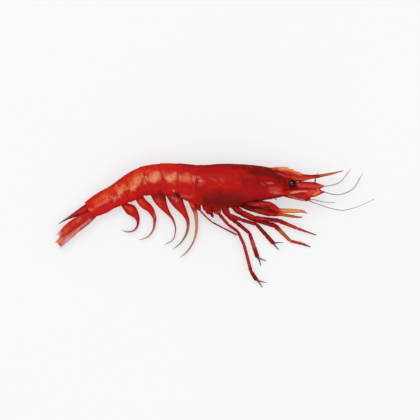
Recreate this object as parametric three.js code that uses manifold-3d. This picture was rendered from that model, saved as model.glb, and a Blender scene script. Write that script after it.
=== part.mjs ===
// A whole raw red shrimp, about 190 mm from the tail fan to the tip of the rostrum, lying on its left flank.
// Millimetres. +X runs towards the head, +Y towards the back and +Z up from the surface that it lies on, so
// the right flank is up. The trunk (head shell, rostrum and six tail rings) is one solid. Each limb, blade,
// feeler and eye is a solid of its own that meets the trunk with a hair of clearance.
import * as THREE from "three";
import { mergeVertices } from "three/addons/utils/BufferGeometryUtils.js";
import Module from "manifold-3d";

const wasm = await Module();
wasm.setup();

// ---------------------------------------------------------------- driving dimensions

const GAP = 0.3; // clearance between a limb and what carries it
const MERGE_DISTANCE = 1e-4; // points of a body closer than this are one
const HEAD_MIDDLE = 10.2; // height of the head's plane of symmetry above the table

// Trunk stations from the tail to the brow: [x, y] of the back and of the belly, half the width, and the
// height of the plane of symmetry. The first seven are the joints of the six tail rings.
const STATIONS = [
  { back: [-85.5, 15.1], belly: [-79.8, 5.2], half: 3.6, middle: 4.6 },
  { back: [-69.7, 25.1], belly: [-65.6, 11.2], half: 5.8, middle: 5.5 },
  { back: [-59.8, 32.4], belly: [-55.2, 15.2], half: 7.3, middle: 6.9 },
  { back: [-49.1, 38.0], belly: [-45.5, 19.1], half: 8.6, middle: 8.2 },
  { back: [-35.8, 40.2], belly: [-34.0, 19.2], half: 9.6, middle: 9.2 },
  { back: [-23.6, 40.2], belly: [-23.2, 17.4], half: 10.1, middle: 9.7 },
  { back: [-9.0, 39.2], belly: [-10.3, 12.2], half: 10.4, middle: 10.0 },
  { back: [2.0, 40.0], belly: [-0.5, 11.0], half: 10.6, middle: HEAD_MIDDLE },
  { back: [13.0, 40.0], belly: [11.0, 11.3], half: 10.4, middle: HEAD_MIDDLE },
  { back: [24.0, 39.2], belly: [22.0, 14.6], half: 9.6, middle: HEAD_MIDDLE },
  { back: [34.4, 37.7], belly: [32.4, 16.2], half: 8.2, middle: HEAD_MIDDLE },
  { back: [42.8, 34.9], belly: [41.6, 17.8], half: 6.2, middle: HEAD_MIDDLE },
  { back: [49.0, 31.0], belly: [48.8, 19.6], half: 3.6, middle: HEAD_MIDDLE },
  { back: [53.4, 28.4], belly: [53.6, 21.4], half: 1.8, middle: HEAD_MIDDLE },
];
const TAIL_RINGS = 6;
const TRUNK_SIDES = 30;
const LIMB_SIDES = 8;
const FINGER_SIDES = 6;
const FEELER_SIDES = 6;
const SWIMMERET_RINGS = 12;
const BLADE_RINGS = 10;
const SCALE_RINGS = 8;
const FEELER_RINGS = 3; // for each of its points
const EYE_FACES = [14, 9]; // round it and from pole to pole
const STALK_SIDES = 10;
const SQUARENESS = 0.86; // under 1 the flanks are flatter than an ellipse's
const BELLY_FULLNESS = 0.1; // how much wider the lower half is than the upper half
const SHELL_BOW = 2.6; // how far the head shell's rear edge bulges back at mid flank
const BOW_REACH = 0.4; // how far along the trunk the bulge fades, in stations
const SHELL_EDGE = 1.018; // how far that edge stands out
const SHELL_EDGE_REACH = 0.15; // and how far it reaches, in stations
const SHELL_STEP = 0.5; // from ring to ring of the head shell, in stations

// How far a tail ring stands out, from its rear edge, which laps over the next, to its tucked front edge.
const RING_SWELL = [[0.0, 1.022], [0.14, 1.018], [0.5, 1.0], [0.86, 0.98], [1.0, 0.95]];
const LAST_RING_BULGE = 0.12; // the ring that carries the tail fan is barrel-shaped

// The rostrum from the crest on the head shell to its tip: x, top, bottom, half thickness. The top falls
// sharply behind each of the three teeth.
const ROSTRUM_SIDES = 8;
const ROSTRUM = [
  [30.0, 37.4, 33.6, 1.2], [38.0, 37.8, 32.4, 1.6], [43.0, 38.1, 31.4, 1.7], [47.2, 37.5, 30.0, 1.6],
  [47.9, 36.6, 29.8, 1.6], [51.2, 36.1, 29.2, 1.5], [51.9, 35.2, 29.1, 1.5], [55.2, 34.2, 28.9, 1.3],
  [55.9, 33.5, 29.1, 1.2], [61.6, 32.9, 30.0, 1.0], [67.3, 33.2, 31.0, 0.8], [75.0, 34.4, 32.8, 0.6],
  [82.7, 35.8, 35.2, 0.35],
];

// Walking legs by pair, from the root out: x, y and half width at each joint, and the height of the tip. The
// last right leg is thin and the one before it is a broken stub.
const LEGS = {
  right: [
    { tip: 3.8, joints: [[10.8, 15.5, 2.5], [12.6, 11.0, 2.0], [17.0, 8.7, 1.2], [25.0, 5.0, 1.2],
      [41.0, 3.0, 1.3], [53.0, -2.0, 0.9], [65.4, -6.4, 0.3]] },
    { tip: 3.6, joints: [[6.4, 15.5, 2.4], [5.6, 10.4, 2.3], [8.5, 6.8, 1.15], [16.6, 3.6, 1.1],
      [26.4, 0.6, 1.0], [32.8, -6.4, 1.2], [37.6, -11.8, 1.2]] },
    { tip: 4.3, joints: [[-0.6, 15.5, 2.6], [0.6, 10.0, 2.9], [2.2, 7.2, 1.0], [8.1, 0.3, 0.85],
      [14.2, -4.0, 0.85], [18.3, -12.6, 0.9], [22.9, -30.1, 1.0], [26.4, -35.5, 1.25]] },
    { tip: 7.6, joints: [[-6.4, 15.5, 3.3], [-4.6, 10.2, 2.9], [-2.8, 7.4, 1.2], [-1.9, 5.2, 0.4]] },
    { tip: 4.9, joints: [[-12.2, 15.5, 1.7], [-11.3, 11.4, 1.6], [-10.2, 9.4, 0.5], [-5.8, 4.9, 0.46],
      [-2.7, 2.2, 0.44], [4.8, -1.8, 0.44], [13.6, -6.2, 0.5]] },
  ],
  left: [
    { tip: 1.3, joints: [[10.8, 15.5, 1.8], [12.6, 10.4, 1.6], [16.4, 7.6, 1.15], [24.4, 3.6, 1.1],
      [38.6, -0.2, 1.4], [48.6, -10.2, 0.9], [56.5, -12.1, 0.8], [61.8, -14.2, 0.3]] },
    { tip: 1.5, joints: [[5.0, 15.5, 2.0], [5.4, 9.8, 1.7], [8.2, 6.0, 1.3], [13.8, 1.6, 1.15],
      [21.9, -5.1, 0.95], [24.7, -13.6, 1.3], [27.1, -20.7, 1.25]] },
  ],
};
const LEG_ROOT = { right: 13.6, left: 6.4 }; // height of the roots
const HIDDEN_LEG = { reach: 0.93, tip: 1.4 }; // unseen left legs: share of the right ones' run, and height
const JOINT_NECK = 0.74; // how much a leg narrows at a joint
const JOINT_REACH = [0.2, 0.8]; // where the neck ends and the next begins, as shares of a length
const SINKING = 1.7; // how soon a limb that sinks from its root runs out level

// Pincers: the tips of the two fingers.
const PINCERS = {
  right: { 2: [[44.1, -11.4], [41.2, -15.8]], 3: [[30.2, -40.6], [33.6, -37.4]] },
  left: { 2: [[29.2, -26.4], [32.8, -23.0]], 3: [[28.6, -38.6], [31.4, -36.9]] },
};
const FINGER = 0.55; // half width of a pincer's finger

// A finger from inside the wrist to its tip: share of its run, and its width there over the half width.
const FINGER_RINGS = [[-0.2, 1], [0.45, 1.15], [1, 0.35]];

// Swimmerets, from the fifth tail ring's to the first's: x, y and half width along the middle line, from the
// root under the ring's lower edge through the leaf-shaped blade and round the hooked end.
const SWIMMERETS = [
  [[-62.6, 17.0, 1.5], [-59.4, 12.9, 1.8], [-54.4, 9.1, 3.7], [-51.4, 4.8, 2.25], [-51.0, 0.8, 0.74],
    [-53.0, -2.9, 0.6], [-57.1, -4.3, 0.42], [-61.6, -3.3, 0.2]],
  [[-52.0, 22.0, 2.4], [-48.0, 15.0, 2.6], [-43.0, 10.6, 2.65], [-40.2, 5.4, 1.65], [-40.1, 1.6, 0.88],
    [-41.2, -3.4, 0.5], [-44.9, -7.7, 0.36], [-50.3, -9.6, 0.2]],
  [[-38.9, 23.0, 4.4], [-35.5, 14.9, 4.1], [-32.4, 9.8, 2.35], [-28.8, 5.0, 0.95], [-27.2, 1.6, 0.54],
    [-26.4, -3.2, 0.34], [-28.2, -9.4, 0.3], [-34.0, -12.8, 0.2]],
  [[-28.6, 23.0, 4.8], [-24.8, 14.6, 4.3], [-20.9, 8.6, 2.8], [-18.4, 3.0, 1.4], [-18.4, -1.9, 0.95],
    [-20.1, -7.1, 0.65], [-23.7, -12.1, 0.4], [-28.4, -15.7, 0.2]],
  [[-17.4, 21.0, 3.0], [-15.2, 13.6, 1.95], [-13.4, 8.1, 1.3], [-12.7, 2.2, 1.0], [-12.9, -4.3, 0.82],
    [-14.9, -11.0, 0.54], [-18.8, -17.1, 0.42], [-23.6, -21.1, 0.2]],
];
const SWIMMERET_THICK = [1.3, 0.4]; // half thickness at the root and at the tip
const SWIMMERET_OFFSET = 0.4; // root's distance from the plane of symmetry, as a share of the half width
const SWIMMERET_TIP = { right: 3.6, left: 1.2 }; // height of the tips
const HIDDEN_SWIMMERET_REACH = 0.94;

// Tail fan: telson and the two blades of each side, as x, y and half width along the middle line.
const TELSON = [
  [-80.0, 13.4, 3.2], [-86.0, 9.8, 2.7], [-92.3, 6.6, 1.55], [-97.4, 4.0, 0.55], [-102.6, 0.95, 0.2],
];
const INNER_BLADE = [
  [-80.5, 8.2, 1.6], [-85.8, 4.9, 2.6], [-91.9, 0.7, 3.3], [-97.3, -3.7, 3.4], [-100.1, -5.9, 2.8],
  [-101.8, -7.2, 1.3],
];
const OUTER_BLADE = [
  [-79.0, 6.6, 1.4], [-83.4, 3.2, 2.2], [-90.4, -1.8, 2.5], [-95.9, -6.1, 2.6], [-99.9, -9.7, 2.4],
  [-102.9, -12.9, 1.2],
];
const BLADE_THICK = 0.42; // half thickness
const TELSON_THICK = 1.3;
const BLADE_THINNING = 0.5; // how much of its thickness a blade has lost at its end
const BLADE_TILT = 0.2; // how far the blades lean outwards, radians
const INNER_BLADE_OFFSET = 3.0; // distance of each blade from the tail's plane of symmetry
const OUTER_BLADE_OFFSET = 1.6;
const TAIL_MIDDLE = 4.6;

// Mouth and head limbs: x, y and half width along the middle line.
const MAXILLIPEDS = {
  right: [[15.0, 17.0, 1.4], [20.0, 14.7, 1.7], [28.0, 13.7, 2.1], [34.0, 13.1, 2.5], [37.4, 11.6, 2.3],
    [40.6, 9.6, 1.5], [50.0, 9.4, 1.4], [56.2, 9.2, 0.9], [59.3, 7.8, 0.3]],
  left: [[11.8, 14.4, 1.1], [15.8, 13.2, 1.3], [20.3, 11.6, 1.7], [27.0, 9.9, 2.0], [34.2, 8.3, 2.4],
    [38.2, 7.8, 1.9], [43.0, 7.0, 1.05], [49.0, 6.0, 0.95], [53.6, 5.3, 0.7], [56.4, 5.4, 0.3]],
};
const MAXILLIPED_HEIGHT = { right: [14.6, 12.4], left: [6.8, 6.0] };
const MAXILLIPED_FLATNESS = 0.85; // its thickness over its width
const EYE = { at: [49.7, 27.4], radius: 2.5, offset: 5.2, stalk: 1.3, stalkAt: [49.1, 26.8] };
const FEELER_SCALE = [
  [44.0, 21.2, 1.2], [50.5, 21.1, 2.3], [57.5, 20.6, 2.8], [64.0, 21.1, 2.6], [70.2, 21.8, 0.45],
];
const FEELER_SCALE_OFFSET = 5.4;
const FEELER_SCALE_THICK = 0.45;
const ANTENNULE_STEM = [
  [49.0, 25.6, 1.7], [54.0, 25.9, 2.7], [62.0, 25.7, 2.6], [67.0, 25.3, 1.9], [70.0, 25.6, 0.6],
];
const ANTENNULE_FLATNESS = 0.5; // a stem's thickness over its width
const ANTENNA_FLATNESS = 0.75;
const ANTENNULE_FLAGELLA = [
  [[68.0, 25.2], [74.6, 26.0], [81.2, 28.5], [88.0, 36.9]],
  [[66.0, 24.4], [70.0, 21.9], [79.8, 20.0], [89.4, 23.9], [95.7, 33.9]],
];
const ANTENNULE_OFFSET = 1.5;
const ANTENNA_STEM = [
  [42.0, 20.6, 1.3], [49.4, 19.0, 1.6], [56.0, 18.1, 2.1], [59.4, 17.6, 2.0], [61.2, 17.2, 0.9],
];
const ANTENNA_FLAGELLA = {
  right: [[58.0, 17.3], [64.7, 14.4], [79.8, 10.0], [90.7, 11.6], [103.3, 17.1]],
  left: [[58.0, 17.6], [64.3, 16.6], [71.0, 15.1], [78.0, 14.9]],
};
const ANTENNA_OFFSET = 3.1;
const FEELER_THIN = 0.32; // half width of a feeler
const FEELER_THINNING = 0.35; // how much of it the feeler has lost at its tip
const FEELER_TIP = { right: 5.0, left: 1.6 }; // height of the feelers' tips
const HIDDEN_FEELER_REACH = 0.8; // the unseen left antennule, as a share of the right one

const MEAT_RED = 0xb8160f;
const DARK_RED = 0x8e120c;
const BLADE_RED = 0xc8362a;
const TIP_ORANGE = 0xd98a3c;
const FEELER_MAUVE = 0xa8848c;
const EYE_BLACK = 0x120c0a;

// ---------------------------------------------------------------- solids from rings of points

function material(color, roughness = 0.4) {
  return new THREE.MeshStandardMaterial({ color, roughness, metalness: 0 });
}

// A closed body through rings of equal point count, with a fan over each end.
function loft(rings) {
  const sides = rings[0].length;
  const points = rings.flat();
  const faces = [];
  for (let ring = 0; ring < rings.length - 1; ring++) {
    for (let side = 0; side < sides; side++) {
      const next = (side + 1) % sides;
      const a = ring * sides + side;
      const b = ring * sides + next;
      const c = a + sides;
      const d = b + sides;
      faces.push(a, b, d, a, d, c);
    }
  }
  const ends = [[0, 1], [rings.length - 1, -1]];
  for (const [ring, turn] of ends) {
    const centre = new THREE.Vector3();
    rings[ring].forEach((point) => centre.addScaledVector(point, 1 / sides));
    const hub = points.length;
    points.push(centre);
    for (let side = 0; side < sides; side++) {
      const a = ring * sides + side;
      const b = ring * sides + ((side + 1) % sides);
      faces.push(...(turn > 0 ? [hub, b, a] : [hub, a, b]));
    }
  }
  const body = new THREE.BufferGeometry();
  body.setAttribute("position", new THREE.Float32BufferAttribute(points.flatMap((p) => [p.x, p.y, p.z]), 3));
  body.setIndex(faces);
  return solid(body);
}

function solid(geometry) {
  const bare = geometry.clone();
  bare.deleteAttribute("normal");
  bare.deleteAttribute("uv");
  const merged = mergeVertices(bare, MERGE_DISTANCE);
  return new wasm.Manifold(new wasm.Mesh({
    numProp: 3,
    vertProperties: new Float32Array(merged.attributes.position.array),
    triVerts: new Uint32Array(merged.index.array),
  }));
}

function geometryOf(body) {
  const mesh = body.getMesh();
  const geometry = new THREE.BufferGeometry();
  geometry.setAttribute("position", new THREE.BufferAttribute(new Float32Array(mesh.vertProperties), 3));
  geometry.setIndex(new THREE.BufferAttribute(new Uint32Array(mesh.triVerts), 1));
  return geometry;
}

// One ring of a limb: an ellipse, half as wide as `wide` across the limb in the table's plane and `thick` up
// and down, turned about the limb by `tilt`.
function limbRing({ at, along, wide, thick, tilt = 0 }, sides) {
  const across = new THREE.Vector3(0, 0, 1).cross(along).normalize();
  const up = along.clone().cross(across).normalize();
  const ring = [];
  for (let side = 0; side < sides; side++) {
    const angle = (2 * Math.PI * side) / sides;
    const u = wide * Math.cos(angle);
    const v = thick * Math.sin(angle);
    const point = at.clone();
    point.addScaledVector(across, u * Math.cos(tilt) - v * Math.sin(tilt));
    point.addScaledVector(up, u * Math.sin(tilt) + v * Math.cos(tilt));
    ring.push(point);
  }
  return ring;
}

// A limb through stations { at, wide, thick, tilt }; each ring lies in the plane that halves the bend there.
function limb(stations, sides = LIMB_SIDES) {
  const rings = stations.map((station, index) => {
    const before = stations[Math.max(index - 1, 0)].at;
    const after = stations[Math.min(index + 1, stations.length - 1)].at;
    const inward = station.at.clone().sub(before).normalize();
    const outward = after.clone().sub(station.at).normalize();
    return limbRing({ ...station, along: inward.add(outward).normalize() }, sides);
  });
  return loft(rings);
}

// Stations along a smooth curve through points, with wide and thick as functions of the share of its length.
function stationsAlong(points, count, wide, thick, tilt = 0) {
  const curve = new THREE.CatmullRomCurve3(points, false, "centripetal");
  return Array.from({ length: count + 1 }, (_, step) => {
    const share = step / count;
    return { at: curve.getPointAt(share), wide: wide(share), thick: thick(share), tilt };
  });
}

// Value at a share of the way through evenly spaced values.
function between(values, share) {
  const place = share * (values.length - 1);
  const index = Math.min(Math.floor(place), values.length - 2);
  return THREE.MathUtils.lerp(values[index], values[index + 1], place - index);
}

// Height along a limb that sinks from its root and then runs out level.
function sinking([high, low], share) {
  return low + (high - low) * (1 - share) ** SINKING;
}

// ---------------------------------------------------------------- trunk

// A smooth line through the stations: x and y from one of their points, and one of their sizes as z.
function stationLine(point, size) {
  const places = STATIONS.map((station) => new THREE.Vector3(...station[point], station[size]));
  return new THREE.CatmullRomCurve3(places, false, "catmullrom");
}

const LAST_STATION = STATIONS.length - 1;
const backLine = stationLine("back", "half");
const bellyLine = stationLine("belly", "middle");

// A ring round the trunk at a place counted in stations. It swells by a factor, grows by millimetres, slides
// along x, and is pressed flat where it would reach below the table.
function trunkRing(place, swell, grow, slide) {
  const back = backLine.getPoint(place / LAST_STATION);
  const belly = bellyLine.getPoint(place / LAST_STATION);
  const half = back.z * swell + grow;
  const middle = belly.z;
  const upward = new THREE.Vector2(back.x - belly.x, back.y - belly.y);
  const tall = (upward.length() / 2) * swell + grow;
  upward.normalize();
  const forward = new THREE.Vector2(upward.y, -upward.x);
  const bow = SHELL_BOW * Math.exp(-(((place - TAIL_RINGS) / BOW_REACH) ** 2));
  const ring = [];
  for (let side = 0; side < TRUNK_SIDES; side++) {
    const angle = (2 * Math.PI * side) / TRUNK_SIDES;
    const high = Math.sign(Math.cos(angle)) * Math.abs(Math.cos(angle)) ** SQUARENESS;
    const wide = Math.sign(Math.sin(angle)) * Math.abs(Math.sin(angle)) ** SQUARENESS;
    const flank = wide * half * (1 - BELLY_FULLNESS * high * (1 - Math.abs(high)));
    const point = new THREE.Vector2((back.x + belly.x) / 2 + slide, (back.y + belly.y) / 2);
    point.addScaledVector(upward, tall * high);
    point.addScaledVector(forward, -bow * Math.sin(angle) ** 2);
    ring.push(new THREE.Vector3(point.x, point.y, Math.max(middle + flank, -grow)));
  }
  return ring;
}

function trunkLoft(grow, slide) {
  const rings = [];
  for (let ring = 0; ring < TAIL_RINGS; ring++) {
    const bulge = ring === 0 ? LAST_RING_BULGE : 0;
    for (const [share, swell] of RING_SWELL) {
      rings.push(trunkRing(ring + share, swell + bulge * Math.sin(Math.PI * share), grow, slide));
    }
  }
  rings.push(trunkRing(TAIL_RINGS, SHELL_EDGE, grow, slide));
  rings.push(trunkRing(TAIL_RINGS + SHELL_EDGE_REACH, SHELL_EDGE, grow, slide));
  for (let place = TAIL_RINGS + SHELL_STEP; place <= LAST_STATION; place += SHELL_STEP) {
    rings.push(trunkRing(place, 1, grow, slide));
  }
  return loft(rings);
}

function rostrumLoft(grow) {
  const rings = ROSTRUM.map(([x, top, bottom, half]) => {
    const centre = (top + bottom) / 2;
    const tall = (top - bottom) / 2 + grow;
    return Array.from({ length: ROSTRUM_SIDES }, (_, side) => {
      const angle = (2 * Math.PI * side) / ROSTRUM_SIDES;
      const height = HEAD_MIDDLE + (half + grow) * Math.sin(angle);
      return new THREE.Vector3(x, centre + tall * Math.cos(angle), height);
    });
  });
  return loft(rings);
}

function trunk(grow = 0, slide = 0) {
  return trunkLoft(grow, slide).add(rostrumLoft(grow));
}

// The trunk grown by the clearance sideways, and slid by it both ways for the faces across its length.
const trunkWithClearance = trunk(GAP, 0).add(trunk(GAP, GAP)).add(trunk(GAP, -GAP));

// What of a limb shows outside the trunk, without any scrap that the cut leaves loose.
function outsideTrunk(body) {
  const pieces = body.subtract(trunkWithClearance).decompose();
  return pieces.reduce((largest, piece) => (piece.volume() > largest.volume() ? piece : largest));
}

// ---------------------------------------------------------------- legs

// Stations of a jointed leg: it narrows at each joint and is fullest near both ends of each length.
function legStations(joints, heights) {
  const lengths = joints.slice(1).map(([x, y], index) => {
    const [lastX, lastY] = joints[index];
    return Math.hypot(x - lastX, y - lastY);
  });
  const total = lengths.reduce((sum, length) => sum + length, 0);
  const stations = [];
  let walked = 0;
  const put = (x, y, half, distance) => {
    const at = new THREE.Vector3(x, y, sinking(heights, distance / total));
    stations.push({ at, wide: half, thick: half });
  };
  joints.forEach(([x, y, half], index) => {
    const isEnd = index === 0 || index === joints.length - 1;
    put(x, y, isEnd ? half : half * JOINT_NECK, walked);
    if (index < lengths.length) {
      const [nextX, nextY, nextHalf] = joints[index + 1];
      for (const share of JOINT_REACH) {
        const shareHalf = THREE.MathUtils.lerp(half, nextHalf, share);
        put(THREE.MathUtils.lerp(x, nextX, share), THREE.MathUtils.lerp(y, nextY, share), shareHalf,
          walked + share * lengths[index]);
      }
      walked += lengths[index];
    }
  });
  return stations;
}

function leg({ joints, tip }, root, fingers = []) {
  const stations = legStations(joints, [root, tip]);
  let body = limb(stations);
  const wrist = stations[stations.length - 1];
  for (const [x, y] of fingers) {
    const end = new THREE.Vector3(x, y, wrist.at.z);
    body = body.add(limb(FINGER_RINGS.map(([share, girth]) => {
      const half = FINGER * girth;
      return { at: wrist.at.clone().lerp(end, share), wide: half, thick: half };
    }), FINGER_SIDES));
  }
  return outsideTrunk(body);
}

// A copy of a limb's joints, cut short to a share of its run.
function shortened(joints, reach) {
  const last = joints.length - 1;
  return joints.map((joint, index) => {
    if (index < last) return joint;
    const before = joints[last - 1];
    return joint.map((value, axis) => (axis < 2 ? THREE.MathUtils.lerp(before[axis], value, reach) : value));
  });
}

function legs() {
  const made = [];
  LEGS.right.forEach((right, index) => {
    const pair = index + 1;
    const unseen = { tip: HIDDEN_LEG.tip, joints: shortened(right.joints, HIDDEN_LEG.reach) };
    made.push([`leg_right_${pair}`, leg(right, LEG_ROOT.right, PINCERS.right[pair])]);
    made.push([`leg_left_${pair}`, leg(LEGS.left[index] ?? unseen, LEG_ROOT.left, PINCERS.left[pair])]);
  });
  return made;
}

// ---------------------------------------------------------------- swimmerets

function swimmeret(line, rootHeight, tipHeight) {
  const last = line.length - 1;
  const points = line.map(([x, y], index) => {
    return new THREE.Vector3(x, y, sinking([rootHeight, tipHeight], index / last));
  });
  const widths = line.map((row) => row[2]);
  const wide = (share) => between(widths, share);
  const thick = (share) => Math.min(wide(share), between(SWIMMERET_THICK, share));
  return outsideTrunk(limb(stationsAlong(points, SWIMMERET_RINGS, wide, thick)));
}

function swimmerets() {
  const made = [];
  SWIMMERETS.forEach((line, index) => {
    const ring = SWIMMERETS.length - index;
    const { half, middle } = STATIONS[index + 1];
    const offset = SWIMMERET_OFFSET * half;
    const hidden = shortened(line, HIDDEN_SWIMMERET_REACH);
    made.push([`swimmeret_right_${ring}`, swimmeret(line, middle + offset, SWIMMERET_TIP.right)]);
    made.push([`swimmeret_left_${ring}`, swimmeret(hidden, middle - offset, SWIMMERET_TIP.left)]);
  });
  return made;
}

// ---------------------------------------------------------------- tail fan

function blade(outline, offset, tilt, thick = BLADE_THICK) {
  const points = outline.map(([x, y]) => new THREE.Vector3(x, y, TAIL_MIDDLE + offset));
  const widths = outline.map((row) => row[2]);
  const wide = (share) => between(widths, share);
  const thickness = (share) => thick * (1 - BLADE_THINNING * share);
  return outsideTrunk(limb(stationsAlong(points, BLADE_RINGS, wide, thickness, tilt)));
}

function tailFan() {
  const made = [["telson", blade(TELSON, 0, 0, TELSON_THICK)]];
  for (const [side, sign] of [["right", 1], ["left", -1]]) {
    made.push([`inner_blade_${side}`, blade(INNER_BLADE, sign * INNER_BLADE_OFFSET, sign * BLADE_TILT)]);
    made.push([`outer_blade_${side}`, blade(OUTER_BLADE, sign * OUTER_BLADE_OFFSET, sign * BLADE_TILT)]);
  }
  return made;
}

// ---------------------------------------------------------------- head limbs, feelers and eyes

function taperedLimb(outline, heights, thin) {
  return limb(outline.map(([x, y, half], index) => {
    const height = THREE.MathUtils.lerp(heights[0], heights[1], index / (outline.length - 1));
    return { at: new THREE.Vector3(x, y, height), wide: half, thick: half * thin };
  }));
}

function feeler(points, high, low) {
  const path = points.map(([x, y], index) => {
    const height = sinking([high, low], index / (points.length - 1));
    return new THREE.Vector3(x, y, height);
  });
  const wide = (share) => FEELER_THIN * (1 - FEELER_THINNING * share);
  return limb(stationsAlong(path, FEELER_RINGS * points.length, wide, wide), FEELER_SIDES);
}

function eye(sign) {
  const [x, y] = EYE.at;
  const ball = new THREE.SphereGeometry(EYE.radius, ...EYE_FACES);
  ball.translate(x, y, HEAD_MIDDLE + sign * EYE.offset);
  const stalk = new THREE.CylinderGeometry(EYE.stalk, EYE.stalk, EYE.offset, STALK_SIDES);
  stalk.rotateX(Math.PI / 2);
  stalk.translate(...EYE.stalkAt, HEAD_MIDDLE + (sign * EYE.offset) / 2);
  return outsideTrunk(solid(ball).add(solid(stalk)));
}

function headLimbs() {
  const made = [];
  for (const [side, sign] of [["right", 1], ["left", -1]]) {
    const tip = FEELER_TIP[side];
    const maxilliped = taperedLimb(MAXILLIPEDS[side], MAXILLIPED_HEIGHT[side], MAXILLIPED_FLATNESS);
    made.push([`maxilliped_${side}`, outsideTrunk(maxilliped)]);

    const scaleHeight = HEAD_MIDDLE + sign * FEELER_SCALE_OFFSET;
    const scalePoints = FEELER_SCALE.map(([x, y]) => new THREE.Vector3(x, y, scaleHeight));
    const scaleWide = (share) => between(FEELER_SCALE.map((row) => row[2]), share);
    const scale = limb(stationsAlong(scalePoints, SCALE_RINGS, scaleWide, () => FEELER_SCALE_THICK));
    made.push([`feeler_scale_${side}`, outsideTrunk(scale)]);

    const antennuleHeight = HEAD_MIDDLE + sign * ANTENNULE_OFFSET;
    let antennule = taperedLimb(ANTENNULE_STEM, [antennuleHeight, antennuleHeight], ANTENNULE_FLATNESS);
    for (const points of ANTENNULE_FLAGELLA) {
      const run = side === "right" ? points : shortened(points, HIDDEN_FEELER_REACH);
      antennule = antennule.add(feeler(run, antennuleHeight, tip));
    }
    made.push([`antennule_${side}`, outsideTrunk(antennule)]);

    const antennaHeight = HEAD_MIDDLE + sign * ANTENNA_OFFSET;
    const stem = taperedLimb(ANTENNA_STEM, [antennaHeight, antennaHeight], ANTENNA_FLATNESS);
    const antenna = stem.add(feeler(ANTENNA_FLAGELLA[side], antennaHeight, tip));
    made.push([`antenna_${side}`, outsideTrunk(antenna)]);

    made.push([`eye_${side}`, eye(sign)]);
  }
  return made;
}

// ---------------------------------------------------------------- the whole shrimp

const COLOURS = [
  [/^trunk/, MEAT_RED],
  [/^leg/, DARK_RED],
  [/^swimmeret/, BLADE_RED],
  [/^(telson|inner|outer)/, BLADE_RED],
  [/^maxilliped/, TIP_ORANGE],
  [/^anten/, FEELER_MAUVE],
  [/^feeler/, BLADE_RED],
  [/^eye/, EYE_BLACK],
];

const shrimp = new THREE.Group();
for (const [name, body] of [["trunk", trunk()], ...legs(), ...swimmerets(), ...tailFan(), ...headLimbs()]) {
  const [, colour] = COLOURS.find(([pattern]) => pattern.test(name));
  const mesh = new THREE.Mesh(geometryOf(body), material(colour));
  mesh.name = name;
  shrimp.add(mesh);
}

// The origin is under the middle of the whole.
const box = new THREE.Box3().setFromObject(shrimp);
const middle = box.getCenter(new THREE.Vector3());
shrimp.position.set(-middle.x, -middle.y, -box.min.z);

export default shrimp;
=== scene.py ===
import math

import bmesh
import bpy
import numpy as np
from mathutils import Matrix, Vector


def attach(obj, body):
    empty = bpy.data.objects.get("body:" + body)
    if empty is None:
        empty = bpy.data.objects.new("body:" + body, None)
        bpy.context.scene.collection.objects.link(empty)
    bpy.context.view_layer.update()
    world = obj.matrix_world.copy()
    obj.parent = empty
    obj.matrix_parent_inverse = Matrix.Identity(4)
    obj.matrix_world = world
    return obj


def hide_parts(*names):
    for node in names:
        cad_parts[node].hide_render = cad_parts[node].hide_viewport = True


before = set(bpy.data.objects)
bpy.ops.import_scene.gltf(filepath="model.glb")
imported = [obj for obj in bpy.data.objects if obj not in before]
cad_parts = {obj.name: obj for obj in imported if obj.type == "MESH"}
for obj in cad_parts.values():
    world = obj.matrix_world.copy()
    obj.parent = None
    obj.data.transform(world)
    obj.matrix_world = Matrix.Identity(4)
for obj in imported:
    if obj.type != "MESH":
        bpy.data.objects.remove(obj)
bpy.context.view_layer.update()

# ---- numbers that the whole shrimp shares

MM = 0.001
VIEW_PIXELS = 420
PIXEL = 0.65  # mm across a pixel of the view
PIXEL_ZERO = np.array([216.0, 225.4])  # the pixel over the plan's origin
SHIFT = np.array([0.189, 0.101, 0.0])  # from the plan's origin to the part's
UP = (0, 0, 1)
TABLE_CLEARANCE = 0.02  # least height of every point
TINY = 1e-9


def numbers(text):
    """Rows of numbers from text, with commas inside a row and spaces between rows."""
    return np.array([[float(number) for number in row.split(",")] for row in text.split()])


# Trunk stations from the tail to the brow: back x, y; belly x, y; half width; height of the middle plane.
STATIONS = numbers("-85.5,15.1,-79.8,5.2,3.6,4.6 -69.7,25.1,-65.6,11.2,5.8,5.5 "
                   "-59.8,32.4,-55.2,15.2,7.3,6.9 -49.1,38,-45.5,19.1,8.6,8.2 -35.8,40.2,-34,19.2,9.6,9.2 "
                   "-23.6,40.2,-23.2,17.4,10.1,9.7 -9,39.2,-10.3,12.2,10.4,10 2,40,-0.5,11,10.6,10.2 "
                   "13,40,11,11.3,10.4,10.2 24,39.2,22,14.6,9.6,10.2 34.4,37.7,32.4,16.2,8.2,10.2 "
                   "42.8,34.9,41.6,17.8,6.2,10.2 49,31,48.8,19.6,3.6,10.2 53.4,28.4,53.6,21.4,1.8,10.2")
HEAD_MIDDLE = STATIONS[-1, -1]  # height of the head's middle plane
RINGS = 6  # of the tail; the head shell's rear edge is at this station
SHELL_BOW, BOW_REACH = 2.6, 0.4  # mm that this edge bows back on the flanks, and over how many stations
SQUARENESS, HEAD_SQUARENESS, LOBE_SQUARENESS = 0.86, 0.7, 0.55  # 1 is an oval cross-section, less is squarer
BELLY_FULLNESS = 0.1


def linear(*levels):
    """A screen colour, 0 to 255, as light."""
    def channel(level):
        level /= 255
        return level / 12.92 if level <= 0.04045 else ((level + 0.055) / 1.055) ** 2.4
    return np.array([channel(level) for level in levels])


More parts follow.
